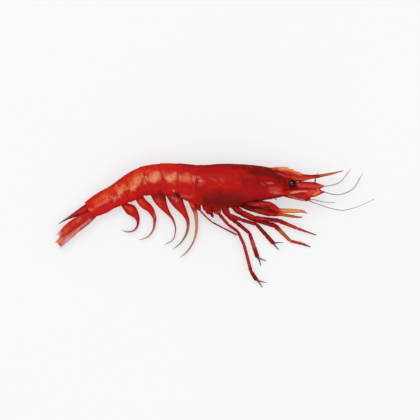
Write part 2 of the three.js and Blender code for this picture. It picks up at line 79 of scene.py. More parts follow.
TONES = {name: linear(*levels) for name, levels in {
    "red": (196, 22, 16), "bright": (218, 30, 14), "scarlet": (214, 22, 18), "orange": (242, 84, 24),
    "peach": (244, 144, 98), "cream": (244, 190, 150), "pink": (216, 84, 76), "rose": (232, 140, 130),
    "coral": (254, 140, 118), "plum": (158, 34, 50), "deep": (158, 18, 16), "brown": (124, 20, 14),
    "dark": (84, 14, 10), "tan": (196, 112, 52), "clay": (178, 100, 64), "sand": (216, 142, 98),
    "amber": (240, 154, 82), "olive": (120, 70, 24), "grey": (134, 122, 112), "mauve": (176, 142, 152),
    "lilac": (220, 192, 198), "soot": (46, 26, 22),
}.items()}

# ---- small tools

CURVE_DENSITY = 40  # points of a curve for each point that it is drawn through
SINKING_POWER = 1.7
HASH_STRIDES = np.array([374761393, 668265263, 2246822519])  # odd numbers that scatter the noise's cells
HASH_SEED, HASH_MIX, HASH_MASK = 3266489917, 1274126177, 0xFFFFFFFF
HALF_RANGE = 0xFFFF / 2
COARSE_FRAY, FINE_FRAY = (0.35, 2.4, 5), (0.3, 1.0, 6)  # strength, size and seed of the noise along a mark
MARK_CORE = 1.4  # above 1, so that the middle of a mark has its full strength
SPIKE_TAPER = 0.86


def plan(pixels):
    """Pixels of the view as plan millimetres."""
    return (np.asarray(pixels, float) - PIXEL_ZERO) * (PIXEL, -PIXEL)


def unit(vectors):
    """Vectors at length 1."""
    return vectors / np.maximum(np.linalg.norm(vectors, axis=-1, keepdims=True), TINY)


def ease(value):
    """A smooth step from 0 to 1."""
    value = np.clip(value, 0, 1)
    return value * value * (3 - 2 * value)


def hill(distance, width):
    """A smooth bump of height 1, down to about a third at its width."""
    return np.exp(-((distance / width) ** 2))


def circle(sides):
    """Evenly spaced angles, once round."""
    return 2 * np.pi * np.arange(sides) / sides


def signed_power(value, power):
    """A power that keeps the sign."""
    return np.sign(value) * np.abs(value) ** power


def rumble(points, size, seed=0):
    """Smooth noise from -1 to 1 with bumps of about a size in millimetres."""
    place = np.asarray(points, float) / size
    cell = np.floor(place).astype(np.int64)
    part = ease(place - cell)
    total = 0
    for corner in np.ndindex(2, 2, 2):
        mixed = (((cell + corner) * HASH_STRIDES).sum(-1) + seed * HASH_SEED) & HASH_MASK
        mixed = ((mixed ^ (mixed >> 13)) * HASH_MIX) & HASH_MASK
        value = ((mixed ^ (mixed >> 16)) & 0xFFFF) / HALF_RANGE - 1
        weight = np.where(corner, part, 1 - part)
        total = total + value * (weight[..., 0] * weight[..., 1]) * weight[..., 2]
    return total


def away_from_line(points, line):
    """Distance in the plan from each point to a line through pixels of the view, or to a single pixel."""
    corners = plan(line)
    flat = points[..., :2]
    best = np.full(flat.shape[:-1], np.inf)
    for start, end in zip(corners, corners[1:] if len(corners) > 1 else corners):
        run = end - start
        share = np.clip(((flat - start) @ run) / max(run @ run, TINY), 0, 1)
        best = np.minimum(best, np.linalg.norm(flat - start - share[..., None] * run, axis=-1))
    return best


def strokes(table):
    """Text rows as (word, number, number, line in pixels); marks are tone, strength, reach in mm, line."""
    parts = (row.split(maxsplit=3) for row in table.strip().splitlines())
    return [(word, float(first), float(second), numbers(line)) for word, first, second, line in parts]


def paint(points, tints, marks):
    """Marks on a surface: dabs of tone along lines, with frayed edges, faded to nothing at their reach."""
    tints = np.broadcast_to(tints, points.shape)
    ragged = 1
    for fray, size, seed in (COARSE_FRAY, FINE_FRAY):
        ragged = ragged + fray * rumble(points, size, seed)
    for tone, strength, reach, line in marks:
        far = away_from_line(points, line) * ragged
        weight = np.clip(strength * ease(1 - far / reach) * MARK_CORE, 0, strength)
        tints = tints + weight[..., None] * (TONES[tone] - tints)
    return tints


def gradient(share, stops):
    """Tones along a limb from a text of stops, each a share of its length and a tone."""
    places, names = zip(*(stop.split() for stop in stops.split(", ")))
    places = [float(place) for place in places]
    channels = np.array([TONES[name] for name in names]).T
    return np.stack([np.interp(share, places, channel) for channel in channels], -1)


def rim_shaded(tints, sides, rim, power):
    """Tints of a tube with painted shade: darker by the share rim along both edges seen from above."""
    edge = np.abs(np.cos(circle(sides))) ** power
    return tints * (1 - rim * edge)[None, :, None]


def catmull(rows, place):
    """The smooth curve through rows of numbers, at places counted in rows."""
    rows = np.vstack([2 * rows[0] - rows[1], rows, 2 * rows[-1] - rows[-2]])
    index = np.clip(np.floor(place).astype(int), 0, len(rows) - 4)
    part = (place - index)[..., None]
    before, start, end, after = (rows[index + step] for step in range(4))
    leave, arrive = (end - before) / 2, (after - start) / 2
    square = 3 * (end - start) - 2 * leave - arrive
    cube = 2 * (start - end) + leave + arrive
    return start + leave * part + square * part**2 + cube * part**3


def curve(rows, height, count):
    """Evenly spaced points on the smooth curve through rows at a height, and the shares along it."""
    points = np.column_stack([rows[:, :2], np.broadcast_to(height, len(rows))])
    dense = catmull(points, np.linspace(0, len(points) - 1, CURVE_DENSITY * len(points)))
    walked = np.concatenate([[0], np.cumsum(np.linalg.norm(np.diff(dense, axis=0), axis=1))])
    wanted = np.linspace(0, walked[-1], count)
    path = np.stack([np.interp(wanted, walked, dense[:, axis]) for axis in range(3)], -1)
    return path, np.linspace(0, 1, count)


def between(values, share):
    """Evenly spaced values, read at shares of the way through them."""
    return np.interp(share, np.linspace(0, 1, len(values)), values)


def averaged(values, window):
    """Values smoothed by the mean of their neighbours."""
    return np.convolve(np.pad(values, window // 2, "edge"), np.ones(window) / window, "valid")


def sinking(high, low, share):
    """Height along a limb that sinks from its root and then runs out level."""
    return low + (high - low) * (1 - np.clip(share, 0, 1)) ** SINKING_POWER


# ---- bodies


class Body:
    """Points, faces and tints of one piece while it is put together."""

    def __init__(self):
        self.points, self.faces, self.tints, self.total = [], [], [], 0

    def add(self, points, faces, tints):
        """Take up points, a tint for each, and blocks of faces that count from the first of them."""
        self.points.append(points)
        self.tints.append(tints)
        for block in faces:
            self.faces += (block + self.total).tolist()
        self.total += len(points)

    def tube(self, rings, tints):
        """A closed tube through rings (count, sides, 3), with a fan over each end."""
        count, sides = rings.shape[:2]
        ring, side = np.arange(count - 1)[:, None] * sides, np.arange(sides)[None]
        first, second = ring + side, ring + (side + 1) % sides
        quads = np.stack([first, second, second + sides, first + sides], -1).reshape(-1, 4)
        side = np.arange(sides)
        last = (count - 1) * sides
        hub = count * sides
        start = np.stack([np.full(sides, hub), (side + 1) % sides, side], -1)
        end = np.stack([np.full(sides, hub + 1), last + side, last + (side + 1) % sides], -1)

        def with_hubs(values):
            return np.concatenate([values.reshape(-1, 3), values[:1].mean(1), values[-1:].mean(1)])
        self.add(with_hubs(rings), [quads, start, end], with_hubs(np.broadcast_to(tints, rings.shape)))

    def plate(self, outer, inner, outer_tints, inner_tints):
        """A closed plate between two grids (rows, columns, 3) of the same size."""
        rows, columns = outer.shape[:2]
        index = np.arange(rows * columns).reshape(rows, columns)
        under = index + rows * columns

        def quads(a, b, c, d):
            return np.stack([a, b, c, d], -1).reshape(-1, 4)
        faces = [quads(index[:-1, :-1], index[:-1, 1:], index[1:, 1:], index[1:, :-1]),
                 quads(under[:-1, :-1], under[1:, :-1], under[1:, 1:], under[:-1, 1:])]
        for line in np.s_[0], np.s_[-1], np.s_[:, 0], np.s_[:, -1]:
            edge, below = index[line], under[line]
            faces.append(quads(edge[:-1], edge[1:], below[1:], below[:-1]))
        tints = [np.broadcast_to(outer_tints, outer.shape), np.broadcast_to(inner_tints, inner.shape)]
        self.add(np.concatenate([outer, inner]).reshape(-1, 3), faces, np.concatenate(tints).reshape(-1, 3))

    def spike(self, root, tip, half, tint, bend=0.0, sides=6, steps=5):
        """A tapering spine or hair from root to tip, bowed upwards in the plan by a share of its length."""
        root, tip = np.asarray(root, float), np.asarray(tip, float)
        share = np.linspace(0, 1, steps)
        run = tip - root
        side = unit(np.cross(UP, run)) * np.linalg.norm(run)
        path = root + share[:, None] * run + (np.sin(np.pi * share) * bend)[:, None] * side
        slim = half * (1 - SPIKE_TAPER * share)
        self.tube(tube_rings(path, slim, slim, sides), tint)


def tube_rings(path, wide, thick, sides, tilt=0.0, sharp=1.0, level=UP):
    """Rings round a path, with half widths across it, half thicknesses, and sharp edges where sharp > 1.

    Level is a direction that the path doesn't run along; the rings' width lies square to it and to the path.
    """
    along = unit(np.gradient(path, axis=0))
    across = unit(np.cross(level, along))
    upward = np.cross(along, across)
    angle = circle(sides)
    u = np.asarray(wide)[:, None] * np.cos(angle)
    v = np.asarray(thick)[:, None] * signed_power(np.sin(angle), sharp)
    u, v = u * math.cos(tilt) - v * math.sin(tilt), u * math.sin(tilt) + v * math.cos(tilt)
    return path[:, None] + u[..., None] * across[:, None] + v[..., None] * upward[:, None]


def uneven(rings, path, relief, size, seed):
    """Rings round a path, pushed in and out a little."""
    centre = path[:, None]
    return centre + (rings - centre) * (1 + relief * rumble(rings, size, seed)[..., None])


def make(name, body, material, node=None):
    """One Blender object from a body, which stands for a node, by default the one of its own name."""
    points = (np.concatenate(body.points) + SHIFT) * MM
    points[:, 2] = np.maximum(points[:, 2], TABLE_CLEARANCE * MM)
    mesh = bpy.data.meshes.new(name)
    mesh.from_pydata(points.tolist(), [], body.faces)
    tints = np.ones((len(points), 4))
    tints[:, :3] = np.clip(np.concatenate(body.tints), 0, 1)
    attribute = mesh.attributes.new("tint", "FLOAT_COLOR", "POINT")
    attribute.data.foreach_set("color", tints.ravel())
    build = bmesh.new()
    build.from_mesh(mesh)
    bmesh.ops.recalc_face_normals(build, faces=build.faces)
    build.to_mesh(mesh)
    build.free()
    mesh.shade_smooth()
    mesh.materials.append(material)
    piece = bpy.data.objects.new(name, mesh)
    bpy.context.scene.collection.objects.link(piece)
    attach(piece, "root")
    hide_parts(node or name)


# ---- materials


def put(node, values):
    """Set sockets of a node by name."""
    for socket, value in values.items():
        node.inputs[socket].default_value = value


def wet_material(name, *, mottle=0.14, mottle_size=3.0, grain=0.5, rough=0.4, bump=0.2, coat=0.05,
                 flesh=0.06, specular=0.1):
    """Wet shell or skin: the painted tint, broken up by blotches and grains, under a thin clear film."""
    material = bpy.data.materials.new(name)
    material.use_nodes = True
    tree = material.node_tree
    nodes, links = tree.nodes, tree.links
    shader = nodes["Principled BSDF"]
    where = nodes.new("ShaderNodeTexCoord").outputs["Object"]
    tint = nodes.new("ShaderNodeAttribute")
    tint.attribute_name = "tint"

    def noise(size, detail):
        node = nodes.new("ShaderNodeTexNoise")
        put(node, {"Scale": 1 / (size * MM), "Detail": detail})
        links.new(where, node.inputs["Vector"])
        return node.outputs["Fac"]

    def ranged(value, low, high, out_low, out_high):
        node = nodes.new("ShaderNodeMapRange")
        put(node, {"From Min": low, "From Max": high, "To Min": out_low, "To Max": out_high})
        links.new(value, node.inputs["Value"])
        return node.outputs["Result"]

    def scaled(colour, factor):
        node = nodes.new("ShaderNodeVectorMath")
        node.operation = "SCALE"
        links.new(colour, node.inputs[0])
        links.new(factor, node.inputs["Scale"])
        return node.outputs["Vector"]

    colour = scaled(tint.outputs["Color"], ranged(noise(mottle_size, 4.0), 0.3, 0.7, 1 - mottle, 1 + mottle))
    grains = nodes.new("ShaderNodeTexVoronoi")
    put(grains, {"Scale": 1 / (grain * MM), "Detail": 3.0})
    links.new(where, grains.inputs["Vector"])
    colour = scaled(colour, ranged(grains.outputs["Distance"], 0.1, 0.7, 1.12, 0.9))
    links.new(colour, shader.inputs["Base Color"])
    film = noise(mottle_size * 0.8, 2.0)
    links.new(ranged(film, 0.35, 0.65, rough * 0.75, rough * 1.3), shader.inputs["Roughness"])
    node = nodes.new("ShaderNodeBump")
    put(node, {"Strength": bump, "Distance": 0.3 * MM})
    links.new(noise(grain * 1.6, 4.0), node.inputs["Height"])
    links.new(node.outputs["Normal"], shader.inputs["Normal"])
    put(shader, {
        "Specular IOR Level": specular, "Coat Weight": coat, "Coat Roughness": 0.14,
        "Subsurface Weight": flesh, "Subsurface Radius": (1.0, 0.35, 0.2), "Subsurface Scale": 1.5 * MM,
    })
    return material


SHELL = wet_material("wet_shell")
HEAD = wet_material("wet_head_shell", mottle=0.1, mottle_size=6.0, grain=0.4, coat=0.03, specular=0.05)
MEAT = wet_material("wet_meat", mottle=0.2, flesh=0.3)
LEG = wet_material("wet_leg", mottle=0.16, mottle_size=2.0, grain=0.3, bump=0.15)
BLADE = wet_material("wet_blade", mottle=0.18, mottle_size=2.0, grain=0.35, flesh=0.12)
EYE = wet_material("wet_eye", mottle=0.3, mottle_size=1.2, grain=0.25, rough=0.12, bump=0.03, coat=0.8,
                   flesh=0.0, specular=0.6)

# ---- trunk

RING_ROWS, RING_COLUMNS = 44, 121
RING_LAP = 0.05  # stations that a ring reaches back over the one behind it
RING_TUCK, FOREMOST_TUCK = 0.13, 0.35  # stations that it reaches in under the one before it
RING_REACH, RING_LOBE = 146, 21  # degrees from the back to the lower edge, and how much the round lobe adds
RING_THICKNESS, SHELL_THICKNESS = 0.55, 0.6
SHELL_ROWS, SHELL_COLUMNS = 150, 151
MEAT_SIDES = 72
MEAT_PLACES = np.concatenate([np.linspace(0.03, 6, 70), np.linspace(6.08, 12.9, 60)])  # stations
BACK_RIM, BELLY_RIM, RIM_SHADE = 0.16, 0.3, 0.25  # widths of the painted shade along the rims, and how dark it is

# How far the head shell reaches down: degrees from the back, at shares of its length from the rear.
SHELL_REACH = ([0, 0.04, 0.10, 0.45, 0.62, 0.85, 1.0], [138, 150, 162, 165, 163, 161, 157])
# Where its front edge lies: stations, at degrees from the back.
SHELL_FRONT = ([0, 30, 50, 62, 74, 86, 96, 104, 116, 134, 150, 170],
               [12.25, 12.1, 11.75, 11.45, 11.38, 11.5, 11.95, 11.85, 11.6, 11.55, 11.3, 11.0])
# Its ridges and, below 0, its grooves: where they lie, height, width, line in pixels.
SHELL_RIDGES = strokes("""
flank 0.14 1.5 203,183 222,181 244,182 258,180
flank -0.12 1.4 203,186 222,184.6 246,186 260,188
all -0.14 1.2 250,166 258,174 266,184 268,190
flank -0.34 0.9 258,197 263,191.5 270,186.2 276,184.8
flank 0.42 0.7 266,183 274,183.2 285,186.5 290,188.4
flank 0.34 0.8 270,190 278,191.2 288,192.6
flank 0.26 0.7 266,197 276,195.6 287,194.6
flank 0.4 0.7 279,173.6 286,176 292,178
flank -0.3 0.9 276,176.6 284,179.4 288,181
""")
# Its spines: root x, y and tip x, y in pixels, half width.
SHELL_SPINES = numbers("286.5,188,291,188.8,0.55 285,193,289.5,194.4,0.5 270.4,197.2,271.4,199.6,0.5 "
                       "274.8,197.4,276.6,200.4,0.5 283,177.2,287,178.6,0.45")

# Markings of the tail rings, laid on in this order, with painted light among them: the pale peach, cream and
# coral patches on the flanks are partly the shell's own colour and partly painted highlights, the small
# coral and pink strokes near the head shell's rear edge are painted highlights, and the brown and dark marks
# by the swimmerets' roots (160 to 180, 192 to 197) are painted shade in the hollows.
TAIL_MARKS = strokes("""
scarlet 0.9 5 90,214 104,211 117,205 132,198.5
scarlet 0.35 4.4 138,195 150,189 164,187 184,189
bright 0.9 5 88,206 101,198 113,188 128,178 146,168.5 166,168 176,169
deep 0.45 2.4 184,164 200,165
deep 0.35 3 110,187 120,179
orange 0.62 3.6 95.6,202.6 101,199.2 107.4,194.6
orange 0.3 3.2 112,191 120,186
scarlet 0.9 2.4 84.6,204.6 88.6,210
orange 0.55 4 127,184 134,179 140,174
orange 0.6 2.4 147,172.4 157,171.8
coral 0.34 1.5 95.5,206.6 102,203.6 109.6,199.4
pink 0.34 1.7 88,210.4 93,209.2 98,206
coral 0.4 1 89,209.4 92.4,209.4
orange 0.4 1.7 108,196 114.5,198.5 119,196.4
coral 0.45 0.9 110.6,196.4 114.5,198.3 118.4,197.4
coral 0.45 0.8 114.6,198.3 115,202
orange 0.7 4.4 120.5,191
peach 0.6 3.2 120.5,190.6 123.5,188.4
cream 0.22 1.4 119.5,193.2 122,191.5
orange 0.7 4.2 134,186 138,180
peach 0.7 3.8 134,186.6 138.4,180
peach 0.8 1.9 134.6,187 136.8,185.4
cream 0.3 1 135.6,186.6
orange 0.8 4.8 152.5,178.5 157,176.5
peach 0.85 4.2 152.6,178.4 157,176
cream 0.36 2.4 156,179 156.5,175.6
peach 0.65 1.1 146.4,177.4 147.4,179.6
orange 0.6 1.4 143,177 145,183
peach 0.6 0.8 144.6,180 145.6,183.2
pink 0.7 3.4 166,175 174,176
orange 0.7 4 169.6,178 174,178
peach 0.85 3.6 169.4,178.6 173,177
cream 0.3 1.7 169.8,179.4
orange 0.7 3.6 181,179 188,179
pink 0.5 2 180,180.5 190,181.5
peach 0.46 2.9 181.6,177.8 188.4,178.6
orange 0.5 2.4 192.6,179.6 195.6,179.8
coral 0.7 0.9 193.2,176.8 193.9,181.2
coral 0.6 0.7 195.6,179.4 196.6,176.6
coral 0.6 0.7 197,178.4
pink 0.75 1 200.4,180.8
pink 0.7 0.8 197.4,184.8
pink 0.5 0.7 201.5,184
red 0.8 1 160.6,170 162.4,176 162,182
deep 0.45 0.6 161.4,173 162.6,178 162,181
red 0.7 0.9 148.6,173 149,182
deep 0.5 0.6 142.2,176 143.4,180
red 0.8 1 125.8,180 127.6,185
red 0.7 0.9 178.4,173 178.6,182
olive 0.6 1.3 137.6,172.6
brown 0.7 2.2 160,192.4 163.4,195.4
dark 0.9 1.6 175.2,192.6 179.6,197
peach 0.6 0.8 173.6,190.6 174.6,191.8
pink 0.5 1.6 182,196 191,197.2
""")
# Short pale and dark flecks across the flank: middle of the patch, half width and half height, count.
FLECKS = numbers("121,190,5,4,16 134,184,5,5,22 145,180,3,5,14 155.5,177,5,5,20 170,178,6,5,26 "
                 "185,179,6,4,24 197,181,4,5,16 103,201,8,5,6 116,198,4,4,6")
FLECK_TONES = ["peach", "rose", "orange", "red", "pink", "bright", "deep"]
FLECK_SEED = 11
FLECK_LEAN = (0.25, 0.5)  # mean and spread
FLECK_RUN, FLECK_STRENGTH, FLECK_REACH = (0.4, 1.6), (0.18, 0.46), (0.45, 0.85)  # least and most
# Marks of the head shell, laid on in this order. Painted light among them: the deep band along the top of
# the back is painted shade, the dark line at the lower edge (243 to 258) is painted shade in the slit above
# the mouth limbs, and the small pink, rose and coral strokes on the flank and by the rear edge are painted
# highlights.
HEAD_MARKS = strokes("""
red 0.52 6 204,174 226,172 240,175
deep 0.75 2.6 206,165.6 226,164.8 246,166
red 0.8 5 204,185 222,184 236,184
deep 0.7 5 246,182 262,184 274,182
deep 0.35 4.4 252,192 262,190
deep 0.8 2.6 244,199 256,198 264,196.6
brown 0.55 1.8 243,179 247,180.6
brown 0.95 4.4 251,172 266,173 279,176
brown 0.75 2.4 244,167.6 262,168.8 274,171
brown 0.6 6.4 209,198.6 236,198.2
brown 0.55 6 208,201.6 238,203
brown 0.6 4.6 218,200 238,201.4
dark 0.18 4.4 222,203 236,204
dark 0.95 1.1 243.4,203 250,202.2 258,201
brown 0.6 2.2 282.4,177 284.6,183 284.6,190
dark 0.4 1.4 284.4,179.4 285,182.6
orange 0.22 2.4 270.6,191 279,190.6
pink 0.28 2.2 271,190 280,189.6
rose 0.4 0.7 270.6,192.4 276,192.4
rose 0.4 0.6 274,194 282,193
pink 0.55 1 283,194 291,192.4
rose 0.5 0.55 267,183.3 270.6,182.9 273,183.6
pink 0.4 0.7 261.6,183.4 264,185
pink 0.3 0.7 269,187.4 274,187.4
pink 0.3 1.3 220.6,179 223,181.6
pink 0.22 1.2 209,177.6 216,180.8
pink 0.4 0.9 219.2,184.2 220,184.8
pink 0.2 0.9 236,183.2 240,183.6
pink 0.45 1.7 199.6,179.6 202.6,183
coral 0.6 0.8 200,181.2 201.4,180.6
pink 0.7 0.9 197.4,186 199.4,184.8
coral 0.4 0.7 197.6,177 200.6,177.8
pink 0.45 0.7 203,179.6 205.6,182
tan 0.18 0.7 246,165.6 252,167.8
orange 0.9 1.1 273,168.6 281,168.4
brown 0.6 0.8 263,199.6 268,198.2 276,197 287,196
pink 0.55 0.8 278,173.4 284,175.8 290,177.2
""")
# Marks on the flesh: the deep and dark strokes along the slit under the head shell's lower edge are painted
# shade.
MEAT_MARKS = strokes("""
deep 0.9 6 204,202 240,200 262,197
deep 0.8 4 286,186 292,192
dark 0.9 2.2 246,201.6 256,201.2 262,199.6
""")


def trunk_surface(place, angle, swell, out, bow, corner, belly=1.0):
    """Points on the trunk at a place counted in stations and an angle, which is 0 along the back.

    Swell scales the cross-section, out adds millimetres to it, bow moves the flanks back by millimetres,
    corner is the squareness of the lower half and belly scales its depth.
    """
    row = catmull(STATIONS, place)
    back, under, half, middle = row[..., 0:2], row[..., 2:4], row[..., 4], row[..., 5]
    rise = back - under
    height = np.linalg.norm(rise, axis=-1)
    upward = rise / height[..., None]
    forward = np.stack([upward[..., 1], -upward[..., 0]], -1)
    sine = np.sin(angle)
    high = signed_power(np.cos(angle), SQUARENESS)
    wide = signed_power(sine, np.where(high > 0, SQUARENESS, corner))
    flank = wide * (half * swell + out) * (1 - BELLY_FULLNESS * high * (1 - np.abs(high)))
    high = np.where(high < 0, high * belly, high)
    flat = (back + under) / 2 + upward * ((height / 2 * swell + out) * high)[..., None]
    flat = flat - forward * (bow * sine**2)[..., None]
    return np.concatenate([flat, np.maximum(middle + flank, TABLE_CLEARANCE)[..., None]], -1)


def shell_bow(place):
    """How far the flanks bow back near the head shell's rear edge."""
    return SHELL_BOW * hill(place - RINGS, BOW_REACH)


def angle_from(angle, centre):
    """Distance from an angle that is measured from the back, on both flanks alike."""
    return np.abs(np.abs(angle) - centre)


def painted_rim_shade(points, tints, angle):
    """Painted shade: the shell is darker along the back and the belly, at its edges seen from above."""
    edge = np.maximum(hill(angle_from(angle, 0), BACK_RIM), hill(angle_from(angle, np.pi), BELLY_RIM))
    edge = edge * (0.8 + 0.3 * rumble(points, 4.0, 9))
    return tints * (1 - RIM_SHADE * edge[..., None])


def flecks():
    """Short marks at random places, always the same ones."""
    rng = np.random.default_rng(FLECK_SEED)
    marks = []
    for x, y, wide, tall, count in FLECKS:
        for _ in range(int(count)):
            at = np.array([x + wide * rng.uniform(-1, 1), y + tall * rng.uniform(-1, 1)])
            lean = rng.normal(*FLECK_LEAN)
            run = np.array([math.sin(lean), math.cos(lean)]) * rng.uniform(*FLECK_RUN)
            tone = FLECK_TONES[rng.integers(len(FLECK_TONES))]
            strength, reach = rng.uniform(*FLECK_STRENGTH), rng.uniform(*FLECK_REACH)
            marks.append((tone, strength, reach, [at - run, at + run]))
    return marks


def tail_ring(index):
    """A ring, counted from the tail: a plate that laps over the one behind it, with a lobe on each flank."""
    foremost = index == RINGS - 1
    tuck = FOREMOST_TUCK if foremost else RING_TUCK
    along = np.linspace(-RING_LAP if index else 0.0, 1 + tuck, RING_ROWS)[:, None]
    around = np.linspace(-1, 1, RING_COLUMNS)[None]
    place = index + along + 0 * around
    lobe = np.sqrt(np.clip(1 - (np.abs(along - 0.40) / 0.66) ** 2.6, 0, 1))
    angle = around * np.radians(RING_REACH + RING_LOBE * lobe)
    swell = np.interp(along, [-RING_LAP, 0.0, 0.14, 0.5, 0.86, 1.0, 1 + tuck],
                      [1.02, 1.018, 1.012, 1.0, 0.993, 0.98, 0.955])
    swell = swell + 0 * around
    mid_ring = np.sin(np.pi * np.clip(along, 0, 1))
    if index == 0:
        swell = swell + 0.12 * mid_ring
    flank = np.abs(np.sin(angle))
    bow = (1.1 if index else 0.4) * flank**2 * np.clip(1 - along, 0, 1)
    base = trunk_surface(place, angle, swell, 0.0, bow, LOBE_SQUARENESS)
    out = 0.10 * rumble(base, 5.0, index) + 0.07 * rumble(base, 1.8, index + 20)
    # The rim and the groove along the rear edge, and the hinge's groove across the back.
    out = out + 0.05 * hill(along + 0.02, 0.05) - 0.07 * hill(along - 0.10, 0.06)
    out = out - 0.10 * hill(along - 0.74, 0.05) * ease((1.8 - np.abs(angle)) / 0.4)
    # The groove above the lobe, the knob at its rear and the swelling of the flank over it.
    out = out - 0.22 * hill(angle_from(angle, np.radians(112)), 0.10) * mid_ring
    out = out + 0.45 * hill(along - 0.04, 0.06) * hill(angle_from(angle, 1.85), 0.10)
    out = out + 0.30 * hill(angle_from(angle, 1.25), 0.30) * hill(along - 0.45, 0.3)
    outer = trunk_surface(place, angle, swell, out, bow, LOBE_SQUARENESS)
    inner = trunk_surface(place, angle, swell, out - RING_THICKNESS, bow, LOBE_SQUARENESS)
    # painted shade along the back and belly edges, laid over the markings and painted highlights
    tints = painted_rim_shade(outer, paint(outer, TONES["red"], TAIL_MARKS + flecks()), angle)
    joint = hill(along - 1.0, 0.05) * (0.0 if foremost else 0.14) + 0 * around
    body = Body()
    body.plate(outer, inner, tints * (1 - joint[..., None]), TONES["deep"])
    make(f"tail_ring_{RINGS - index}", body, SHELL, "trunk")


def meat():
    """The flesh and the belly skin inside the shell, from the tail to the brow."""
    place = MEAT_PLACES[:, None]
    angle = circle(MEAT_SIDES)[None]
    swell = np.interp(place, [0, 0.5, 11.2, 12.4, 12.9], [0.9, 0.93, 0.93, 0.98, 0.9]) + 0 * angle
    furrow = 0.035 * np.cos(2 * np.pi * place) * (place < RINGS)
    depth = np.interp(place, [0, 6, 9.5, 12.9], [0.9, 0.9, 0.98, 1.02]) + 0 * angle
    bow = shell_bow(place) * 0.5
    points = trunk_surface(place + 0 * angle, angle, swell + furrow, 0.0, bow, HEAD_SQUARENESS, depth)
    tints = paint(points, TONES["red"], MEAT_MARKS)
    belly = hill(angle_from((angle + np.pi) % (2 * np.pi) - np.pi, np.pi), 0.5) * (place < 5.6)
    tints = tints + 0.5 * belly[..., None] * (TONES["pink"] - tints)
    body = Body()
    body.tube(points, tints)
    make("meat", body, MEAT, "trunk")


def head_shell():
    """The shell over the head and chest, open below, with its grooves, ridges and front spines."""
    share = np.linspace(0, 1, SHELL_ROWS)[:, None]
    around = np.linspace(-1, 1, SHELL_COLUMNS)[None]
    angle = around * np.radians(np.interp(share, *SHELL_REACH))
    front = np.interp(np.degrees(np.abs(angle)), *SHELL_FRONT)
    place = RINGS - 0.10 + (front - RINGS + 0.10) * share
    bow = shell_bow(place)
    swell = np.interp(place, [5.9, 6.0, 6.2, 6.5], [1.01, 1.012, 1.01, 1.0])
    base = trunk_surface(place, angle, swell, 0.0, bow, HEAD_SQUARENESS)
    flank = ease((np.abs(angle) - 0.25) / 0.3)
    out = 0.12 * rumble(base, 7.0, 31) + 0.05 * rumble(base, 2.4, 32)
    for where, height, width, line in SHELL_RIDGES:
        out = out + (flank if where == "flank" else 1) * (height * hill(away_from_line(base, line), width))
    # A rim and a groove along the rear edge, and then along the lower edges.
    out = out + 0.03 * hill(share - 0.004, 0.014) - 0.04 * hill(share - 0.035, 0.014)
    out = out + 0.22 * hill(np.abs(around) - 0.985, 0.02) - 0.18 * hill(np.abs(around) - 0.94, 0.02)
    outer = trunk_surface(place, angle, swell, out, bow, HEAD_SQUARENESS)
    inner = trunk_surface(place, angle, swell, out - SHELL_THICKNESS, bow, HEAD_SQUARENESS)
    tints = paint(outer, TONES["deep"] * 0.45 + TONES["red"] * 0.55, HEAD_MARKS)
    body = Body()
    # painted shade along the back and belly edges
    body.plate(outer, inner, painted_rim_shade(outer, tints, angle), TONES["deep"])
    for side in (1, -1):
        for *ends, half in SHELL_SPINES:
            start, end = plan(ends[:2]), plan(ends[2:])
            station = np.interp(start[0], STATIONS[:, 0], np.arange(len(STATIONS)))
            width = catmull(STATIONS, np.array([station]))[0, 4]
            depth = HEAD_MIDDLE + side * width * (0.5 if start[1] < 20 else 0.85)
            body.spike((*start, depth), (*end, depth + side * 0.4), half, TONES["red"])
    make("head_shell", body, HEAD, "trunk")


# The rostrum from the crest on the head shell to its tip: x, top, bottom, half thickness.
ROSTRUM = numbers("30,37.4,33.6,1.2 34,37.5,33,1.5 38,37.8,32.4,1.6 43,38.1,31.4,1.7 45.5,37.9,30.6,1.7 "
                  "48,36.7,29.8,1.6 51,35.6,28.8,1.5 54.2,34.4,28.5,1.4 57,33.3,28.9,1.2 61.6,32.9,30,1 "
                  "67.3,33.2,31,0.8 75,34.4,32.8,0.6 82.6,35.8,35.2,0.22")
ROSTRUM_ROWS, ROSTRUM_SIDES = 110, 20
ROSTRUM_TEETH = numbers("43.6,37.5,47.3,37.4 47.8,36.2,51.2,36 52,34.6,55.3,34.1")  # root and tip
TOOTH_HALF = 0.55
ROSTRUM_MARKS = strokes("""
red 0.9 3 286,173.5 300,176.5 310,178
orange 0.9 1.9 270,168.6 281,168.8 290,170.4 301,174
peach 0.9 1.3 279,167.8 288,168.6 293,170.6 300,173.4
cream 0.5 0.8 283,167.6 288,168.4
pink 0.7 1 279,173.8 288,176.8 296,179.4 303,180
rose 0.35 0.6 282,174.4 290,177.4 298,179.4
orange 0.75 1.2 290,178 300,179.2 310,178.8 316,177.8
orange 0.5 1.6 321,175.8 332,173.2 340,171.4
tan 0.6 1.5 321,175.6 332,173.4 342,171
grey 0.9 1.6 341,171.4 343.5,170.8
deep 0.6 0.7 302,174.2 312,175.8 320,175
""")


